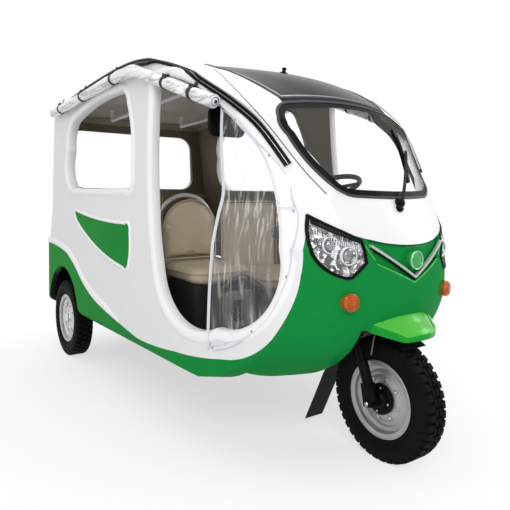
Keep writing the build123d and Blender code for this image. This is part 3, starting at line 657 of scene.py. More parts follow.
# ---------------------------------------------------------------------- panels
LIP = [(-0.001, -0.050), (-0.005, -0.046), (-0.006, -0.010), (-0.004, -0.002), (0.001, 0.003),
       (0.010, 0.007), (0.022, 0.009), (0.034, 0.0075), (0.043, 0.004), (0.048, -0.002)]
WINDOW_LIP = [(-0.001, -0.062), (-0.005, -0.058), (-0.006, -0.010), (-0.004, -0.002),
              (0.002, 0.003), (0.010, 0.0065), (0.020, 0.008), (0.030, 0.007), (0.037, 0.004),
              (0.042, -0.002)]
FIN_LIP = [(-0.002, -0.004), (-0.002, 0.003), (0.001, 0.006), (0.006, 0.0075), (0.011, 0.006),
           (0.015, 0.003), (0.017, -0.002)]


# Lips round the door, the rear window and the fin, painted whiter than the body as their highlight.
def make_lips():
    for side, tag in SIDES:
        for name, outline, rows in (("door_lip_", DOOR, LIP),
                                    ("window_lip_", REAR_WINDOW, WINDOW_LIP),
                                    ("fin_lip_", FIN, FIN_LIP)):
            line = outline_points(outline)
            verts, faces = side_band(line, outward_normals(line, smooth=3), rows, side, on_side,
                                     True)
            piece(name + tag, verts, turned(faces) if side < 0 else faces, "lip_white",
                  split=None)


def make_green_beads():
    """Rounded white bead that runs above the green line, from the rear to ahead of the wheel,
    painted lighter than the body as its highlight.
    """
    step, front_end, fade_run = 0.02, 1.36, 16
    line = [(2.830, 0.8075)]
    for middle, end in (((2.604, 0.793), (2.370, 0.761)), ((2.217, 0.700), (2.074, 0.622)),
                        ((1.887, 0.535), (1.715, 0.488)), ((1.430, 0.440), (1.141, 0.400))):
        line += [p for p in arc(line[-1], middle, end, step) if p[0] > front_end]
    ways = [(ny, nz) if nz > 0 else (-ny, -nz) for ny, nz in outward_normals(line, closed=False)]
    rows = [(0.001, -0.002), (0.002, 0.006), (0.010, 0.011), (0.022, 0.012), (0.034, 0.009),
            (0.044, 0.004), (0.050, -0.002)]
    parts = []
    for side, _ in SIDES:
        verts, faces = side_band(line, ways, rows, side, skin_x, False,
                                 lambda i: min(1.0, 0.25 + (len(line) - 1 - i) / fade_run))
        parts.append((verts, turned(faces) if side > 0 else faces))
    piece("green_line_beads", *joined(parts), "lip_white", split=None)


# ---------------------------------------------------------------- rails and rolls
def make_rails():
    section = [(-0.017, -0.004), (-0.017, 0.006), (-0.014, 0.010), (-0.005, 0.011),
               (-0.003, 0.007), (0.001, 0.007), (0.003, 0.011), (0.012, 0.010), (0.015, 0.006),
               (0.015, -0.004)]
    edge = [(0.0155, -0.004), (0.0155, 0.007), (0.019, 0.007), (0.020, -0.004)]
    # pale strip in the rail's middle channel: a painted highlight
    line = [(-0.0022, 0.0070), (-0.0022, 0.0078), (0.0006, 0.0078), (0.0006, 0.0070)]
    inward, above, reach = 0.45, 0.004, 0.05
    for side, tag in SIDES:
        seats, lifts = [], []
        for point in smooth_path([at(-side * x, y, z) for x, y, z in RAIL], 10):
            way = (Vector((0, point.y, point.z - inward)) - point).normalized()
            hit, normal = cast_near(point, way, 0.3, reach)
            seats.append(hit + normal * above)
            lifts.append(normal)
        last = len(seats) - 1
        for _ in range(3):
            lifts = [(lifts[max(i - 1, 0)] + lifts[i] * 2 + lifts[min(i + 1, last)]).normalized()
                     for i in range(last + 1)]
            seats = [seats[0]] + [(seats[i - 1] + seats[i] * 2 + seats[i + 1]) / 4
                                  for i in range(1, last)] + [seats[-1]]
        for name, rows, material in (("rail_", section, "black_plastic"),
                                     ("rail_edge_", edge, "groove"),
                                     ("rail_highlight_line_", line, "groove")):
            rows = [(-side * a, b) for a, b in rows]
            strip = piece(name + tag, *swept(seats, rows, lifts), material, split=25)
            if name == "rail_":
                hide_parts("drip_rail_" + tag)


STRAP_WIDE = 0.011
STRAP_INSIDE, STRAP_OUTSIDE = 0.0305, 0.0335


def strap_parts(point, axes, side):
    """Band round a roll, its tail up to the rail and its buckle."""
    tangent, sideways, lift = axes
    around = 32
    verts = []
    for j in range(around):
        t = 2 * math.pi * j / around
        way = sideways * math.cos(t) + lift * math.sin(t)
        for end, r in ((-STRAP_WIDE, STRAP_INSIDE), (-STRAP_WIDE, STRAP_OUTSIDE),
                       (STRAP_WIDE, STRAP_OUTSIDE), (STRAP_WIDE, STRAP_INSIDE)):
            verts.append(point + tangent * end + way * r)
    band = (verts, grid_faces(around, 4, closed_rows=True, closed_columns=True))
    top = point + lift * 0.075 + Vector((-side * 0.02, 0, 0))
    low = point + lift * 0.026
    tail = swept([low, low.lerp(top, 0.5), top], rod_section(0.0012, STRAP_WIDE), tangent)
    seat = point + lift * 0.030 + Vector((side * 0.012, 0, 0))
    buckle = swept([seat - tangent * 0.017, seat + tangent * 0.017], rod_section(0.006, 0.012),
                   lift)
    return [band, tail, buckle]


def make_rolls():
    count = 28
    squeeze_deep, squeeze_run = 0.10, 1.6
    for side, tag in SIDES:
        path = smooth_path([at(-side * x, y, z) for x, y, z in ROLL], 12)
        straps = [min(range(len(path)), key=lambda i: abs(path[i].y + MIDDLE - y))
                  for y in ROLL_STRAPS]
        verts = []
        frames = frames_along(path, Vector((0, 0, 1)))
        for i, (point, (_, sideways, lift)) in enumerate(zip(path, frames)):
            near = min(abs(i - s) for s in straps)
            squeeze = 1 - squeeze_deep * math.exp(-(near / squeeze_run) ** 2)
            for j in range(count):
                a = 2 * math.pi * j / count
                wave = (1 + 0.035 * math.sin(3 * a + i * 0.33) + 0.03 * math.sin(5 * a - i * 0.51)
                        + 0.02 * math.sin(i * 0.9 + 2 * a))
                r = ROLL_RADIUS * squeeze * wave
                verts.append(point + sideways * r * math.cos(a) + lift * r * math.sin(a))
        faces = grid_faces(len(path), count, closed_columns=True) + end_faces(len(path), count)
        roll = piece("roll_" + tag, verts, faces, "curtain_vinyl", split=60)
        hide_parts("curtain_roll_" + tag)
        parts = [part for s in straps for part in strap_parts(path[s], frames[s], side)]
        piece("roll_straps_" + tag, *joined(parts), "strap_black")
        tangent = (path[0] - path[1]).normalized()
        disc = lathe([(0.0, 0.012), (0.013, 0.0115), (0.0165, 0.009), (0.018, 0.006),
                      (0.0205, 0.006), (0.021, 0.009), (0.0235, 0.009), (0.025, 0.004),
                      (0.025, -0.006)], path[0], tangent, 40)
        piece("roll_end_" + tag, *disc, "hem_white")
        ring = lathe([(0.0170, 0.0066), (0.0178, 0.0085), (0.0202, 0.0085), (0.0210, 0.0066)],
                     path[0], tangent, 40)
        plug = lathe([(0.0085, 0.0110), (0.0085, 0.0135), (0.0060, 0.0150), (0.0, 0.0150)],
                     path[0], tangent, 24)
        piece("roll_end_ring_" + tag, *joined([ring, plug]), "joint_dark")


def point_along(points, share):
    """The point at a share of a line's length."""
    lengths = [0]
    for a, b in zip(points, points[1:]):
        lengths.append(lengths[-1] + (b - a).length)
    want = share * lengths[-1]
    for i in range(len(points) - 1):
        if lengths[i + 1] >= want:
            k = (want - lengths[i]) / max(lengths[i + 1] - lengths[i], 1e-9)
            return points[i].lerp(points[i + 1], k)
    return points[-1]


def before_side(y, z, above):
    """A point outside the right side of the body."""
    return at(-(side_x(y, z) + above), y, z)


def make_sheet():
    """Clear sheet in the right door: a grid between its free edge and its snapped edge."""
    rear = smooth_path([Vector((y, z, 0)) for y, z in SHEET_REAR], 10)
    front = smooth_path([Vector((y, z, 0)) for y, z in SHEET_FRONT], 6)
    rows, columns = 90, 36
    verts = []
    for i in range(rows + 1):
        v = i / rows
        a, b = point_along(rear, v), point_along(front, v)
        for j in range(columns + 1):
            u = j / columns
            p = a.lerp(b, u)
            edge = min(1.0, 4 * u * (1 - u)) * min(1.0, 6 * v * (1 - v))
            fold = (0.0045 * math.sin(u * 16 + v * 2.1) + 0.003 * math.sin(u * 31 - v * 3.3 + 1)
                    + 0.0025 * math.sin(v * 9 + u * 5))
            verts.append(before_side(p.x, p.y, 0.0045 + max(0, 0.004 + fold) * edge))
    sheet = piece("door_sheet", verts, grid_faces(rows + 1, columns + 1), "clear_vinyl",
                  split=None)
    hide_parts("curtain_sheet_right")
    hems = [swept([before_side(p.x, p.y, 0.0062) for p in points],
                  [(-half, -0.0008), (half, -0.0008), (half, 0.0012), (-half, 0.0012)],
                  Vector((-1, 0, 0))) for points, half in ((rear, 0.011), (front, 0.0075))]
    hem = piece("door_sheet_hem", *joined(hems), "hem_white")
    strap = []
    for i in range(9):
        y, z = 0.153 - 0.051 * i / 8 * 1.15, 1.105
        x = side_x(y, z) + 0.0085
        strap += [at(-x, y, z - 0.013), at(-x - 0.001, y, z), at(-x, y, z + 0.013)]
    piece("door_sheet_strap", strap, grid_faces(9, 3), "hem_white")
    snaps = [lathe([(0.0065, 0.0), (0.0065, 0.002), (0.004, 0.0035), (0.0, 0.004)],
                   before_side(y, z, 0.0070), (-1, 0, 0), 20) for y, z in SHEET_SNAPS]
    snap = piece("door_sheet_snaps", *joined(snaps), "steel")
    height = sum((b - a).length for a, b in zip(rear, rear[1:]))


# ------------------------------------------------------------------- soft seats
def rounded_outline(u, v, radius, step=0.012):
    """Outline of a rectangle with rounded corners; u and v are (low, high)."""
    points = []
    corners = [(u[1] - radius, v[0] + radius, -90), (u[1] - radius, v[1] - radius, 0),
               (u[0] + radius, v[1] - radius, 90), (u[0] + radius, v[0] + radius, 180)]
    for cu, cv, start in corners:
        count = max(3, int(radius * math.pi / 2 / step))
        for i in range(count + 1):
            a = math.radians(start + 90 * i / count)
            points.append((cu + radius * math.cos(a), cv + radius * math.sin(a)))
    result = []
    for a, b in zip(points, points[1:] + points[:1]):
        count = max(1, int(math.dist(a, b) / step))
        result += [(a[0] + (b[0] - a[0]) * i / count, a[1] + (b[1] - a[1]) * i / count)
                   for i in range(count)]
    return result


def pad_mesh(outline, place, low, high, edge, crown):
    """Closed pad: outline in (u, v), thickness from low to high, rounded edge, crowned top."""
    cu = sum(p[0] for p in outline) / len(outline)
    cv = sum(p[1] for p in outline) / len(outline)
    normals = outward_normals(outline, smooth=1)
    verts, rings = [], 11
    middle, half = (low + high) / 2, (high - low) / 2
    for k in range(-5, 6):
        t = k / 5 * math.pi / 2
        inset = edge * (1 - math.cos(t))
        height = middle + (half - edge) * (1 if k > 0 else -1 if k < 0 else 0) + edge * math.sin(t)
        if k == 0:
            height = middle
        verts += [place(u - nu * inset, v - nv * inset, height)
                  for (u, v), (nu, nv) in zip(outline, normals)]
    count = len(outline)
    faces = grid_faces(rings, count, closed_columns=True)
    for end, sign in ((rings - 1, 1), (0, -1)):
        last = end * count
        for k in range(1, 8):
            share = 1 - k / 8
            rise = crown * (1 - share ** 2) if sign > 0 else 0
            height = (high if sign > 0 else low) + rise
            ring = []
            for (u, v), (nu, nv) in zip(outline, normals):
                eu, ev = u - nu * edge, v - nv * edge
                ring.append(place(cu + (eu - cu) * share, cv + (ev - cv) * share, height))
            start = len(verts)
            verts += ring
            for i in range(count):
                j = (i + 1) % count
                quad = (last + i, last + j, start + j, start + i)
                faces.append(quad if sign > 0 else tuple(reversed(quad)))
            last = start
        verts.append(place(cu, cv, (high + crown) if sign > 0 else low))
        hub = len(verts) - 1
        for i in range(count):
            j = (i + 1) % count
            faces.append((last + i, last + j, hub) if sign > 0 else (last + j, last + i, hub))
    return verts, faces


def inflate(obj, voxel, cap):
    """Fills the pad with a short cloth simulation under pressure; no point moves over cap."""
    scene = bpy.context.scene
    remesh = obj.modifiers.new("remesh", "REMESH")
    remesh.mode = "VOXEL"
    remesh.voxel_size = voxel
    apply_modifier(obj)
    rest = [v.co.copy() for v in obj.data.vertices]
    cloth = obj.modifiers.new("cloth", "CLOTH")
    settings = cloth.settings
    settings.quality = 5
    settings.use_pressure = True
    settings.uniform_pressure_force = 4.0
    settings.tension_stiffness = 40
    settings.compression_stiffness = 40
    settings.shear_stiffness = 20
    settings.bending_stiffness = 4
    settings.effector_weights.gravity = 0
    cloth.point_cache.frame_start = 1
    cloth.point_cache.frame_end = 20
    for step in range(1, 21):
        scene.frame_set(step)
        bpy.context.view_layer.update()
    apply_modifier(obj)
    scene.frame_set(1)
    for vertex, start in zip(obj.data.vertices, rest):
        moved = vertex.co - start
        if moved.length > cap:
            vertex.co = start + moved * (cap / moved.length)
    obj.data.shade_smooth()


def apply_modifier(obj):
    graph = bpy.context.evaluated_depsgraph_get()
    mesh = bpy.data.meshes.new_from_object(obj.evaluated_get(graph))
    obj.modifiers.clear()
    old = obj.data
    obj.data = mesh
    bpy.data.meshes.remove(old)


def cushion(name, node, outline, place_at, low, high, edge=0.026, crown=0.010, voxel=0.006,
            welt=0.72):
    """Padded piece that stands for a CAD cushion, with piping at a share of its thickness."""
    inset = 0.005
    out = 0.0025
    normals = outward_normals(outline, smooth=1)
    smaller = [(u - nu * inset, v - nv * inset) for (u, v), (nu, nv) in zip(outline, normals)]
    verts, faces = pad_mesh(smaller, place_at, low + 0.001, high - inset - crown, edge, crown)
    obj = piece(name, verts, faces, "beige_vinyl", split=None)
    inflate(obj, voxel, 0.008)
    if not obj.data.materials:
        obj.data.materials.append(MATERIALS["beige_vinyl"])
    if node:
        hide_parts(node)
    height = low + (high - low) * welt
    path = [place_at(u - nu * (inset - out), v - nv * (inset - out), height)
            for (u, v), (nu, nv) in zip(outline, normals)]
    across = (place_at(0, 0, 1) - place_at(0, 0, 0)).normalized()
    piping = swept(path, ring_section(0.0032, 8), across, closed=True)
    piece(name + "_piping", *piping, "beige_vinyl")
    return obj


def upright(front):
    """Placing of (across, up, thickness) on an upright plane that faces forward."""
    return lambda u, v, t: at(u, front - t, v)


def round_back_outline():
    """Straight sides and a half-round top."""
    half, centre, foot, base, rise, bend = 0.174, -0.345, 0.8076, 0.985, 0.163, 0.026
    run = base - foot - bend
    outline = [(centre + half - 0.02, foot), (centre + half - 0.004, foot + 0.008)]
    outline += [(centre + half, foot + bend + run * i / 12) for i in range(12)]
    for i in range(41):
        a = math.pi * i / 40
        outline.append((centre + half * math.cos(a), base + rise * math.sin(a)))
    outline += [(centre - half, base - run * i / 12) for i in range(1, 13)]
    outline += [(centre - half + 0.004, foot + 0.008), (centre - half + 0.02, foot)]
    outline += [(centre - half + 0.02 + (2 * half - 0.04) * i / 24, foot) for i in range(1, 24)]
    return outline


def make_seats():
    cushion("passenger_pad", "passenger_cushion",
            rounded_outline((-0.530, -0.150), (0.770, 1.210), 0.095), at, 0.7103, 0.8053,
            edge=0.030, crown=0.014, welt=0.62)
    cushion("driver_pad", "driver_cushion",
            rounded_outline((-0.120, 0.330), (0.720, 1.190), 0.070), at, 0.6503, 0.7453,
            edge=0.030, crown=0.014, welt=0.62)
    cushion("bench_pad", "bench_cushion",
            rounded_outline((-0.510, 0.510), (2.130, 2.624), 0.050, 0.02), at, 0.5903, 0.6903,
            edge=0.030, voxel=0.010)
    cushion("round_back", "passenger_back", round_back_outline(), upright(1.210), 0.0, 0.060,
            edge=0.024, crown=0.012, welt=0.62)
    cushion("driver_back_pad", "driver_back",
            rounded_outline((-0.110, 0.320), (0.6513, 1.140), 0.035), upright(1.250), 0.0, 0.055,
            edge=0.02, crown=0.006, voxel=0.007)
    for tag, node, low, high in (("right", "bench_back", -0.540, 0.200),
                                 ("left", None, 0.455, 0.640)):
        cushion("bench_back_" + tag, node, rounded_outline((low, high), (0.6313, 1.192), 0.045),
                upright(2.708), 0.0, 0.0835, edge=0.03, crown=0.008, voxel=0.009)


# ------------------------------------------------------------------------ wheels
def tyre_rows():
    """Profile of the tyre: (along the axle, radius, part of a lug, which row of lugs)."""
    half = [(0.0440, 0.1556, 0, 0), (0.0485, 0.1560, 0, 0), (0.0500, 0.1720, 0, 0),
            (0.0545, 0.1850, 0, 0), (0.0552, 0.1865, 0, 0), (0.0590, 0.2000, 0, 0),
            (0.0598, 0.2010, 0, 0), (0.0618, 0.2150, 0, 0), (0.0626, 0.2300, 0, 0),
            (0.0618, 0.2400, 0, 1), (0.0600, 0.2460, 0.25, 1), (0.0585, 0.2510, 0.55, 1),
            (0.0545, 0.2575, 0.85, 1), (0.0490, 0.2622, 1, 1), (0.0420, 0.2635, 1, 1),
            (0.0235, 0.2635, 1, 1), (0.0225, 0.2635, 0, 1), (0.0190, 0.2635, 0, 2),
            (0.0180, 0.2635, 1, 2), (0.0060, 0.2635, 1, 2), (0.0055, 0.2635, 0.6, 2)]
    other = [(-x, r, lug, 3 if row == 1 else row) for x, r, lug, row in reversed(half)]
    return half + other


def make_tyre(name, node, centre, body):
    rows = tyre_rows()
    shares = [(0.00, 0), (0.03, 1), (0.25, 1), (0.48, 1), (0.70, 1), (0.73, 0), (0.865, 0)]
    phase = {0: 0.0, 1: 0.0, 2: 0.5, 3: 0.0}
    verts = []
    for pitch in range(LUG_COUNT):
        for share, up in shares:
            for x, radius, lug, row in rows:
                turn = share + phase[row]
                skew = 0.10 * (abs(x) / 0.06) if row else 0
                a = 2 * math.pi * (pitch + turn + skew) / LUG_COUNT
                r = radius + 0.009 * lug * up
                if row and not up:
                    r -= 0.0015 * lug
                verts.append(Vector(centre) + Vector((x, r * math.sin(a), r * math.cos(a))))
    columns = len(rows)
    faces = grid_faces(LUG_COUNT * len(shares), columns, closed_rows=True, closed_columns=True)
    tyre = piece(name, verts, faces, "tyre", body, split=35)
    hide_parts(node)


def around_axle(turns):
    """Direction from the axle at a share of a turn."""
    a = 2 * math.pi * turns
    return Vector((0, math.cos(a), math.sin(a)))


def rim_openings(centre, axis):
    """Openings of a rear disc: lozenges, alternately tall and short, as black plates just above the
    disc: painted shade where the holes are.
    """
    out, flat, raised = 0.104, 0.0258, 0.0262
    parts = []
    for i in range(8):
        way = around_axle((i + 0.3) / 8)
        across = axis.cross(way)
        tall, wide = (0.017, 0.011) if i % 2 else (0.010, 0.009)
        corners = [way * (out - tall), way * out + across * wide, way * (out + tall),
                   way * out - across * wide]
        ring = [centre + axis * flat + c for c in corners]
        lift = [centre + axis * raised + way * out + (c - way * out) * 0.9 for c in corners]
        parts.append((ring + lift, grid_faces(2, 4, closed_columns=True) + [(4, 5, 6, 7)]))
    return parts


def make_rim_detail(name, centre, side, body, hub_out, front):
    """Steps of the rim's lip, disc with bolts and hub, facing side * X."""
    centre = Vector(centre)
    axis = Vector((side, 0, 0))
    finish = "rim_grey" if front else "rim_bright"
    steps = lathe([(0.1700, 0.0495), (0.1706, 0.0515), (0.1690, 0.0530), (0.1655, 0.0528),
                   (0.1640, 0.0490), (0.1600, 0.0470), (0.1580, 0.0462), (0.1560, 0.0440),
                   (0.1530, 0.0436), (0.1505, 0.0400), (0.1490, 0.0330), (0.1460, 0.0300),
                   (0.1445, 0.0250), (0.1400, 0.0225), (0.1350, 0.0215), (0.1300, 0.0180),
                   (0.1270, 0.0175), (0.1200, 0.0205), (0.1080, 0.0235), (0.1030, 0.0232),
                   (0.0990, 0.0262), (0.0900, 0.0300), (0.0800, 0.0322), (0.0700, 0.0328),
                   (0.0640, 0.0328)], centre, axis, 96)
    piece(name + "_rim", *steps, finish, body, split=50)
    out = 0.0145 if front else 0.0
    hub = lathe([(0.0672, 0.0300), (0.0672, 0.0352 + out), (0.0650, 0.0364 + out),
                 (0.0480, 0.0364 + out), (0.0440, 0.0352 + out), (0.0410, 0.0352 + out),
                 (0.0390, 0.0400 + out), (0.0330, 0.0420 + out), (0.0300, hub_out - 0.004),
                 (0.0260, hub_out), (0.0, hub_out)], centre, axis, 64)
    piece(name + "_hub", *hub, "hub_black" if front else finish, body,
          slot="black_frame" if front else "rim_grey")
    bolts, seats, small = [], [], []
    for i in range(8):
        way = around_axle((i + 0.3) / 8)
        seat = centre + axis * 0.0290 + way * 0.0875
        tilt = (axis + way * 0.12).normalized()
        seats.append(lathe([(0.0125, -0.001), (0.0125, 0.0022), (0.0105, 0.0028),
                            (0.0095, 0.0012), (0.0, 0.0012)], seat, tilt, 24))
        if i % 4:
            bolts.append(lathe([(0.0072, 0.001), (0.0072, 0.0070), (0.0060, 0.0082),
                                (0.0, 0.0082)], seat, tilt, 6))
    for i in range(4):
        seat = centre + axis * (0.0362 + out) + around_axle((i + 0.1) / 4) * 0.0530
        small.append(lathe([(0.0058, -0.001), (0.0058, 0.0045), (0.0045, 0.0055), (0.0, 0.0055)],
                           seat, axis, 6))
    # on the rear discs these are black plates painted as the shade in the openings
    piece(name + "_bolt_seats_and_hole_shades", *joined(seats if front else rim_openings(centre, axis)),
          "rim_grey" if front else "hub_black", body, slot="rim_grey")
    piece(name + "_bolts", *joined(bolts + small), "steel", body, split=20)


def make_wheels():
    front = at(0, 0, AXLE_Z)
    make_tyre("tyre_front", "front_tyre", front, "front_wheel")
    for side, tag in SIDES:
        make_rim_detail("wheel_front_" + tag, front, side, "front_wheel", 0.0635, True)
    for side, tag in SIDES:
        centre = at(side * REAR_X, WHEELBASE, AXLE_Z)
        body = "rear_wheel_" + tag
        make_tyre("tyre_rear_" + tag, "rear_tyre_" + tag, centre, body)
        make_rim_detail("wheel_rear_" + tag, centre, side, body, 0.055, False)


def make_fork_detail():
    feet, bolts = [], []
    forward = Vector((0, -1, 0))
    box = [(-0.020, -0.024), (-0.026, -0.018), (-0.026, 0.020), (-0.020, 0.026),
           (0.020, 0.026), (0.026, 0.020), (0.026, -0.018), (0.020, -0.024)]
    for side, _ in SIDES:
        x = side * 0.092
        low, high = at(x, 0.012, 0.250), at(x, 0.030, 0.345)
        end, out = at(x, 0.004, 0.266), (side, 0, 0)
        feet.append(swept([low, low.lerp(high, 0.5), high], box, forward))
        feet.append(lathe([(0.0, 0.030), (0.016, 0.030), (0.018, 0.026), (0.018, -0.004)], end,
                          out, 24))
        bolts.append(lathe([(0.0105, 0.029), (0.0105, 0.037), (0.0085, 0.039), (0.0, 0.039)],
                           end, out, 6))
    piece("fork_feet", *joined(feet), "black_frame", "steering")
    piece("fork_bolts", *joined(bolts), "steel", "steering", split=20)
    pipe = smooth_path([at(-0.085, -0.010, 0.585), at(-0.100, -0.014, 0.560),
                        at(-0.106, -0.010, 0.520), at(-0.103, 0.000, 0.478)])
    piece("brake_pipe", *swept(pipe, ring_section(0.0032, 10), Vector((1, 0, 0))), "steel_grey",
          "steering", slot="black_frame")


# ------------------------------------------------------------------- nose, lamps
def band_on(skin, outline, rows, step=0.012):
    """Band around an outline on the front or the top: rows are (outward, above the skin)."""
    points = outline_points(outline, step)
    verts = []
    for (a, b), (na, nb) in zip(points, outward_normals(points)):
        for out, lift in rows:
            hit, normal = skin(a + na * out, b + nb * out)
            verts.append(hit + normal * lift)
    return verts, grid_faces(len(points), len(rows), closed_rows=True)


def make_windshield():
    corner = [(-0.2215, 1.1660), (-0.2500, 1.1665), (-0.2850, 1.1680), (-0.3020, 1.1960),
              (-0.3166, 1.2230)]
    bend = [(-0.2215, 1.1660), (-0.2500, 1.1700), (-0.2765, 1.1827), (-0.3000, 1.2010),
            (-0.3166, 1.2230)]
    fills = []
    for flip in (1, -1):
        verts = []
        for (ax, az), (bx, bz) in zip(corner, bend):
            for k in range(4):
                share = k / 3
                hit, normal = on_front(flip * (ax + (bx - ax) * share), az + (bz - az) * share)
                verts.append(hit + normal * 0.0014)
        faces = grid_faces(len(corner), 4)
        fills.append((verts, faces if flip > 0 else turned(faces)))
    piece("windshield_corners", *joined(fills), "body_white")
    gasket = [(-0.003, -0.001), (-0.003, 0.003), (0.0, 0.0045), (0.004, 0.0045), (0.007, 0.003),
              (0.008, -0.001)]
    border = [(-0.027, 0.0008), (-0.018, 0.0009), (-0.009, 0.0009), (0.0, 0.0009)]
    piece("windshield_gasket", *band_on(on_front, WINDSHIELD_EDGE, gasket), "joint_dark")
    piece("windshield_border", *band_on(on_front, WINDSHIELD_EDGE, border), "black_plastic")


def make_roof_light():
    gasket = [(-0.003, -0.001), (-0.002, 0.004), (0.004, 0.006), (0.010, 0.004),
              (0.012, -0.001)]
    border = [(-0.013, 0.0008), (-0.006, 0.0009), (0.0, 0.0009)]
    piece("roof_light_gasket", *band_on(on_top, ROOF_LIGHT, gasket, 0.02), "joint_dark")
    piece("roof_light_border", *band_on(on_top, ROOF_LIGHT, border, 0.02), "groove")
    knob = lathe([(0.024, -0.002), (0.024, 0.004), (0.012, 0.008), (0.008, 0.016), (0.013, 0.020),
                  (0.014, 0.026), (0.008, 0.031), (0.0, 0.032)], *on_top(0.0, 0.744), 28)
    piece("roof_knob", *knob, "black_plastic")


def make_seams():
    parts = []
    for side, _ in SIDES:
        path = []
        for point in smooth_path([at(-side * x, y, z) for x, y, z in SEAM], 10):
            way = (Vector((0, point.y + 0.25, point.z - 0.25)) - point).normalized()
            path.append(cast_near(point, way, 0.3, 0.06)[0])
        parts.append(swept(path, ring_section(0.0022, 8), Vector((0, -0.5, 1))))
    piece("seams", *joined(parts), "joint_dark")


def make_headlamps():
    ring = [(-0.010, -0.004), (-0.010, 0.003), (-0.007, 0.0060), (-0.001, 0.0066), (0.002, 0.0050),
            (0.003, -0.001)]
    bezel = piece("lamp_bezels", *both(*band_on(on_front, HEADLAMP, ring, 0.010)),
                  "black_plastic")
    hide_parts("headlamp_trim")
    # broad dark band under the upper edge, tapering towards the middle of the vehicle
    top = outline_points(((-0.417, 1.091), [(-0.330, 1.030, -0.254, 0.988)]), 0.010)
    verts = []
    for i, (x, z) in enumerate(top):
        deep = 0.036 - 0.018 * i / (len(top) - 1)
        for k in range(5):
            hit, normal = on_front(x + 0.004, z - 0.003 - deep * k / 4)
            verts.append(hit + normal * 0.0022)
    piece("lamp_brows", *both(verts, grid_faces(len(top), 5)), "black_plastic")
    ribs = []
    for i in range(3, len(top) - 1):
        x, z = top[i]
        low, n1 = on_front(x + 0.006, z - 0.010)
        end, n2 = on_front(x + 0.010, z - 0.031 + 0.015 * i / len(top))
        ribs.append(swept([low + n1 * 0.0026, end + n2 * 0.0026], ring_section(0.0016, 6), n1))
    piece("lamp_brow_ribs", *both(*joined(ribs)), "joint_dark")
    points = outline_points(HEADLAMP, 0.010)
    cx = sum(p[0] for p in points) / len(points)
    cz = sum(p[1] for p in points) / len(points)
    # faceted reflector behind the lens
    verts = []
    shares = (1.0, 0.93, 0.80, 0.66, 0.50, 0.34, 0.18)
    for k, share in enumerate(shares):
        for i, (x, z) in enumerate(points):
            px, pz = cx + (x - cx) * share, cz + (z - cz) * share
            hit, normal = on_front(px, pz)
            wobble = 0.0035 * (((i // 3) * 7 + k * 5) % 4 - 1.5) if 0 < k else 0
            depth = 0.003 if k == 0 else 0.016 + wobble
            verts.append(hit - normal * depth)
    count = len(points)
    faces = grid_faces(len(shares), count, closed_columns=True)
    faces.append(tuple(range((len(shares) - 1) * count, len(shares) * count)))
    piece("lamp_reflectors", *both(verts, faces), "reflector", smooth=False)
    # two projectors and a ribbed strip along the top
    rims, lenses, dark, strip = [], [], [], []
    for px, pz, radius in ((-0.365, 0.968, 0.036), (-0.306, 0.924, 0.038)):
        hit, normal = on_front(px, pz)
        way = (normal + Vector((0, -1.2, 0))).normalized()
        seat = hit - way * 0.018
        rims.append(lathe([(radius + 0.004, 0.0), (radius + 0.003, 0.008), (radius, 0.012),
                           (radius - 0.005, 0.011), (radius - 0.007, 0.004)], seat, way, 36))
        dark.append(lathe([(radius - 0.006, 0.006), (radius - 0.010, 0.002),
                           (radius - 0.014, 0.003)], seat, way, 36))
        lenses.append(lathe([(radius - 0.013, 0.002), (radius - 0.016, 0.008),
                             (radius - 0.022, 0.012), (0.0, 0.0145)], seat, way, 36))
    up = Vector((0.0, 0.0, 1.0))
    for i in range(22):
        share = i / 21
        px = -0.408 + share * (-0.264 + 0.408)
        pz = 1.028 - 0.066 * share - 0.014 * math.sin(share * math.pi)
        hit, normal = on_front(px, pz)
        seat = hit - normal * 0.010
        strip.append(swept([seat - up * 0.011, seat + up * 0.006], rod_section(0.002, 0.003),
                           normal))
    piece("lamp_rims", *both(*joined(rims)), "chrome")
    piece("lamp_rings", *both(*joined(dark)), "hub_black")
    piece("lamp_projectors", *both(*joined(lenses)), "projector")
    piece("lamp_ribs", *both(*joined(strip)), "chrome", smooth=False)


def make_signals():
    bases, domes = [], []
    for side, _ in SIDES:
        way = Vector((side * 0.22, -1, 0.02)).normalized()
        centre = at(side * 0.308, -0.072, 0.739)
        bases.append(lathe([(0.035, -0.020), (0.0360, 0.006), (0.0365, 0.012), (0.0335, 0.014)],
                           centre, way, 36))
        domes.append(lathe([(0.0338, 0.010), (0.0332, 0.017), (0.0312, 0.0200), (0.0262, 0.0210),
                            (0.0254, 0.0190), (0.0236, 0.0190), (0.0226, 0.0220), (0.0168, 0.0234),
                            (0.0160, 0.0214), (0.0140, 0.0214), (0.0130, 0.0244), (0.0, 0.0258)],
                           centre, way, 40))
    base = piece("signal_bases", *joined(bases), "amber_lens")
    piece("signal_lenses", *joined(domes), "amber_lens", split=30)
    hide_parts("turn_signals")


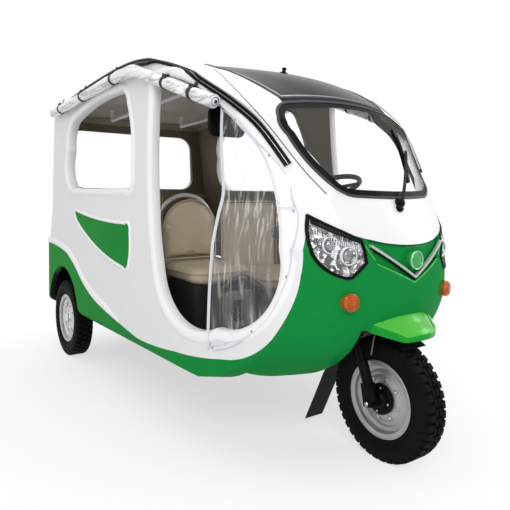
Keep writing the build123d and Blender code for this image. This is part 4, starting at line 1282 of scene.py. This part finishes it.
def make_beak():
    """Blunt beak: y, half width and height of the side edge, crown, bottom."""
    stations = [(-0.040, 0.203, 0.648, 0.716, 0.604), (-0.090, 0.176, 0.632, 0.684, 0.590),
                (-0.130, 0.147, 0.617, 0.655, 0.579), (-0.165, 0.121, 0.604, 0.626, 0.570),
                (-0.182, 0.107, 0.597, 0.614, 0.566), (-0.193, 0.094, 0.591, 0.605, 0.565),
                (-0.200, 0.080, 0.584, 0.594, 0.567)]
    fine = smooth_path([Vector((y, w, e)) for y, w, e, c, b in stations], 4)
    more = smooth_path([Vector((y, c, b)) for y, w, e, c, b in stations], 4)
    shares = [0.0, 0.15, 0.30, 0.45, 0.58, 0.70, 0.79, 0.825, 0.85, 0.88, 0.905, 0.95, 1.0]
    top_rows, low_rows = [], []
    for p, q in zip(fine, more):
        y, w, e = p
        c, b = q[1], q[2]
        fade = min(1, max(0, (-0.05 - y) / 0.04)) * min(1, max(0, (y + 0.192) / 0.02))
        row = []
        for share in shares:
            z = e + (c - e) * (1 - share ** 2.4)
            if 0.82 < share < 0.86:
                z -= 0.0050 * fade
            elif 0.87 < share < 0.96:
                z += 0.0022 * fade
            row.append((share * w, z))
        full = [(-x, z) for x, z in reversed(row[1:])] + row
        front = min(1, max(0, (-0.16 - y) / 0.04))
        back_y = y if y > -0.165 else -0.165 + (y + 0.165) * 0.45
        def bow(x):
            return back_y - 0.0205 * max(0, 1 - (x / w) ** 2) * front
        top_rows.append([at(x, bow(x), z) for x, z in full])
        low = [(w, e), (w * 1.0, e - 0.005), (w * 0.99, e + (b - e) * 0.5), (w * 0.96, b + 0.002),
               (w * 0.86, b), (w * 0.4, b + 0.002), (0, b + 0.002)]
        full = low + [(-x, z) for x, z in reversed(low[:-1])]
        low_rows.append([at(x, bow(x), z) for x, z in full])
    # the top is painted a lighter green than the skirt, as its highlight
    for name, rows, material in (("beak_top", top_rows, "beak_green"),
                                 ("beak_skirt", low_rows, "body_green_plain")):
        verts = [v for row in rows for v in row]
        obj = piece(name, verts, grid_faces(len(rows), len(rows[0])), material, split=50)
        if name == "beak_top":
            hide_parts("beak")
    # blunt front between the top and the bottom
    upper, lower = top_rows[-1], low_rows[-1]
    verts = []
    for i, point in enumerate(reversed(upper)):
        k = i / (len(upper) - 1) * (len(lower) - 1)
        foot = lower[int(k)].lerp(lower[min(int(k) + 1, len(lower) - 1)], k - int(k))
        verts += [point, point.lerp(foot, 0.5) + Vector((0, -0.004, 0)), foot]
    piece("beak_front", verts, grid_faces(len(upper), 3), "body_green_plain")


def make_nose_bar():
    """Slim bright V on the nose, with a black strip under its lower edge as its painted shadow."""
    corners = [(-0.229, 0.964), (-0.118, 0.897), (-0.012, 0.833), (0.0, 0.826)]
    line = []
    for a, b in zip(corners, corners[1:]):
        line += [(a[0] + (b[0] - a[0]) * i / 10, a[1] + (b[1] - a[1]) * i / 10) for i in range(10)]
    line += [corners[-1]]
    line += [(-x, z) for x, z in reversed(line[:-1])]

    def front_y(x):
        return -0.148 + 0.78 * x * x

    for name, rows, material in (
            ("nose_bar", [(-0.0050, 0.010), (-0.0050, -0.004), (-0.0025, -0.0070),
                          (0.0025, -0.0070), (0.0050, -0.004), (0.0050, 0.010)], "bar_grey"),
            ("nose_bar_shadow", [(-0.0100, 0.012), (-0.0100, -0.0005), (-0.0045, -0.0005),
                                 (-0.0045, 0.012)], "hub_black")):
        verts = []
        for x, z in line:
            for up, forward in rows:
                verts.append(at(x, front_y(x) + forward, z + up * 1.18))
        faces = grid_faces(len(line), len(rows)) + turned(end_faces(len(line), len(rows)))
        obj = piece(name, verts, faces, material, split=30)
        if name == "nose_bar":
            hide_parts("nose_trim")


def make_nose_crease():
    """Edge of the pressed field behind the bar: a ridge painted a lighter green as its highlight.
    """
    corners = [(-0.252, 0.970), (-0.194, 0.888), (0.0, 0.803), (0.194, 0.888), (0.252, 0.970)]
    path, ups = [], []
    for a, b in zip(corners, corners[1:]):
        for i in range(14):
            k = i / 14
            hit, normal = on_front(a[0] + (b[0] - a[0]) * k, a[1] + (b[1] - a[1]) * k)
            path.append(hit)
            ups.append(normal)
    section = [(-0.0040, -0.001), (-0.0030, 0.0018), (0.0, 0.0030), (0.0030, 0.0018),
               (0.0040, -0.001)]
    piece("nose_crease", *swept(path, section, ups), "crease_green")


def make_badge():
    centre = at(0, -0.153, 0.897)
    ring = lathe([(0.0395, 0.0), (0.0395, 0.005), (0.0375, 0.0075), (0.0345, 0.0065),
                  (0.0335, 0.0030), (0.0335, 0.0)], centre, (0, -1, 0), 56)
    piece("badge_ring", *ring, "badge_rim")
    dome = lathe([(0.0336, 0.0012), (0.0280, 0.0030), (0.0180, 0.0046), (0.0, 0.0054)], centre,
                 (0, -1, 0), 56)
    piece("badge_face", *dome, "badge_green")


def make_header_band():
    """Dark band between the windshield's upper edge and the roof light."""
    count, half = 36, 0.34
    way = Vector((0, 0.6, -0.8))
    verts = []
    for i in range(count + 1):
        x = -0.352 + 0.704 * i / count
        low = on_front(x, 1.600 - 0.026 * (x / half) ** 2)[0]
        high = on_top(x, 0.302 + 0.040 * (x / half) ** 2)[0]
        for k in range(7):
            hit, normal = cast_near(low.lerp(high, k / 6), way, 0.2, math.inf)
            verts.append(hit + normal * 0.0016)
    piece("header_band", verts, grid_faces(count + 1, 7), "black_plastic")


def make_seat_fittings():
    bar = smooth_path([at(-0.335, 0.800, 0.690), at(-0.322, 0.752, 0.752), at(-0.290, 0.735, 0.762),
                       at(-0.231, 0.732, 0.745), at(-0.170, 0.732, 0.705), at(-0.110, 0.735, 0.640),
                       at(-0.090, 0.762, 0.605)], 8)
    piece("seat_bar", *swept(bar, ring_section(0.012, 14), Vector((0, 1, 0.01))), "steel_grey",
          slot="steel")
    box = pad_mesh(rounded_outline((-0.362, -0.182), (0.468, 0.668), 0.026), upright(0.800),
                   0.0, 0.040, 0.012, 0.002)
    piece("seat_box", *box, "steel_grey", slot="cab_grey")
    vent = pad_mesh(rounded_outline((-0.316, -0.254), (0.512, 0.622), 0.006), upright(0.760),
                    0.0, 0.006, 0.002, 0.0)
    ribs = [swept([at(-0.309, 0.7535, 0.524 + 0.0115 * i), at(-0.261, 0.7535, 0.524 + 0.0115 * i)],
                  ring_section(0.0032, 8), Vector((0, 0, 1))) for i in range(8)]
    piece("seat_vent", *joined([vent] + ribs), "black_plastic")


def make_wiper():
    pivot, normal = on_front(-0.008, 1.134)
    cap = lathe([(0.022, -0.002), (0.023, 0.010), (0.020, 0.018), (0.014, 0.024), (0.0, 0.026)],
                pivot, normal, 28)
    low = lathe([(0.017, -0.002), (0.017, 0.012), (0.012, 0.016), (0.0, 0.017)],
                on_front(-0.022, 1.112)[0], normal, 24)
    joint, joint_normal = on_front(0.190, 1.365)
    start = pivot + normal * 0.024
    end = joint + joint_normal * 0.026
    path = [start, start.lerp(end, 0.3) + normal * 0.008, start.lerp(end, 0.7) + normal * 0.008,
            end]
    arm = swept(smooth_path(path), [(-0.008, -0.002), (0.008, -0.002), (0.006, 0.003),
                                    (-0.006, 0.003)], normal)
    (low_x, low_z), (high_x, high_z) = (0.111, 1.225), (0.220, 1.485)
    n1 = on_front(low_x, low_z)[1]
    blade_path = []
    for i in range(13):
        k = i / 12
        hit, n = on_front(low_x + (high_x - low_x) * k, low_z + (high_z - low_z) * k)
        blade_path.append(hit + n * 0.010)
    blade = swept(blade_path, [(-0.003, -0.009), (0.003, -0.009), (0.006, 0.006), (-0.006, 0.006)],
                  n1)
    spine = swept([p + n1 * 0.010 for p in blade_path[2:-2]], rod_section(0.004, 0.002), n1)
    dark = piece("wiper_blade", *joined([cap, low, blade]), "black_plastic")
    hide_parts("wiper")
    piece("wiper_arm", *joined([arm, spine]), "hub_black")


def make_mirror():
    """Interior mirror hung from the front header, black case with a glass towards the rear."""
    outline = rounded_outline((-0.538, -0.330), (1.455, 1.598), 0.040)
    case = pad_mesh(outline, upright(0.660), 0.0, 0.030, 0.010, 0.004)
    piece("mirror_case", *case, "black_plastic")
    inner = [(u * 0.93 - 0.434 * 0.07, v * 0.9 + 1.5265 * 0.1) for u, v in outline]
    glass = pad_mesh(inner, upright(0.664), 0.0, 0.003, 0.001, 0.0)
    piece("mirror_glass", *glass, "mirror")


# ---------------------------------------------------------------- stage, camera
def make_stage():
    mesh = bpy.data.meshes.new("floor")
    size = 16
    corners = [(-size, -size, 0), (size, -size, 0), (size, size, 0), (-size, size, 0)]
    mesh.from_pydata(corners, [], [(0, 1, 2, 3)])
    floor = bpy.data.objects.new("floor", mesh)
    bpy.context.scene.collection.objects.link(floor)
    material, tree, shader = new_material("floor_white")
    shader.inputs["Base Color"].default_value = (0.92, 0.92, 0.92, 1)
    shader.inputs["Roughness"].default_value = 0.9
    shader.inputs["Specular IOR Level"].default_value = 0.1
    glow = new_node(tree, "Emission", {"Strength": 1.0})
    far = new_node(tree, "VectorMath", {0: place(tree)}, "LENGTH")
    fade = spread(tree, far.outputs["Value"], 0.62, 1.0, 1.1, 2.3)
    shown = new_node(tree, "Math", {0: fade, 1: camera_mask(tree)}, "MULTIPLY")
    mix = tree.nodes.new("ShaderNodeMixShader")
    set_inputs(tree, mix, {"Fac": shown.outputs[0], 1: shader.outputs[0], 2: glow.outputs[0]})
    tree.links.new(mix.outputs[0], tree.nodes["Material Output"].inputs["Surface"])
    mesh.materials.append(material)


def camera_mask(tree):
    """1 for camera, glossy and transmission rays."""
    rays = tree.nodes.new("ShaderNodeLightPath").outputs
    first = new_node(tree, "Math", {0: rays["Is Camera Ray"], 1: rays["Is Glossy Ray"]},
                     "MAXIMUM")
    return new_node(tree, "Math", {0: first.outputs[0], 1: rays["Is Transmission Ray"]},
                    "MAXIMUM").outputs[0]


def make_world():
    world = bpy.data.worlds.new("studio")
    bpy.context.scene.world = world
    world.use_nodes = True
    tree = world.node_tree
    tree.nodes.clear()
    soft, white = [new_node(tree, "Background", {"Color": (1, 1, 1, 1), "Strength": strength})
                   for strength in (0.55, 1.0)]
    mix = tree.nodes.new("ShaderNodeMixShader")
    set_inputs(tree, mix, {"Fac": camera_mask(tree), 1: soft.outputs[0], 2: white.outputs[0]})
    out = tree.nodes.new("ShaderNodeOutputWorld")
    tree.links.new(mix.outputs[0], out.inputs["Surface"])


def area_light(name, place, target, size, power):
    data = bpy.data.lights.new(name, "AREA")
    data.shape = "RECTANGLE"
    data.size, data.size_y = size
    data.energy = power
    lamp = bpy.data.objects.new(name, data)
    bpy.context.scene.collection.objects.link(lamp)
    lamp.location = place
    way = Vector(target) - Vector(place)
    lamp.rotation_euler = way.to_track_quat("-Z", "Y").to_euler()


def make_camera():
    data = bpy.data.cameras.new("camera")
    camera = bpy.data.objects.new("camera", data)
    bpy.context.scene.collection.objects.link(camera)
    data.sensor_width = 36
    data.lens = CAMERA_LENS
    data.shift_x, data.shift_y = CAMERA_SHIFT
    camera.location = at(*CAMERA_AT)
    look = Vector((math.sin(CAMERA_YAW) * math.cos(CAMERA_PITCH),
                   math.cos(CAMERA_YAW) * math.cos(CAMERA_PITCH), -math.sin(CAMERA_PITCH)))
    turn = look.to_track_quat("-Z", "Y").to_matrix()
    camera.rotation_euler = (turn @ Matrix.Rotation(CAMERA_ROLL, 3, "Z")).to_euler()
    bpy.context.scene.camera = camera


for make in (make_lips, make_green_beads, make_rails, make_rolls, make_sheet, make_seats,
             make_wheels, make_fork_detail, make_windshield, make_roof_light, make_seams,
             make_headlamps, make_signals, make_beak, make_nose_bar, make_nose_crease,
             make_badge, make_header_band, make_seat_fittings, make_wiper, make_mirror):
    make()
make_stage()
make_world()
area_light("key", (-4.0, -5.5, 5.0), (0, 0, 0.8), (4, 3), 230)
area_light("fill", (5.0, -3.5, 3.5), (0, 0, 0.8), (4, 3), 110)
area_light("top", (0, 0.5, 6.0), (0, 0, 0), (5, 6), 150)
make_camera()
bpy.context.scene.view_settings.view_transform = "Standard"
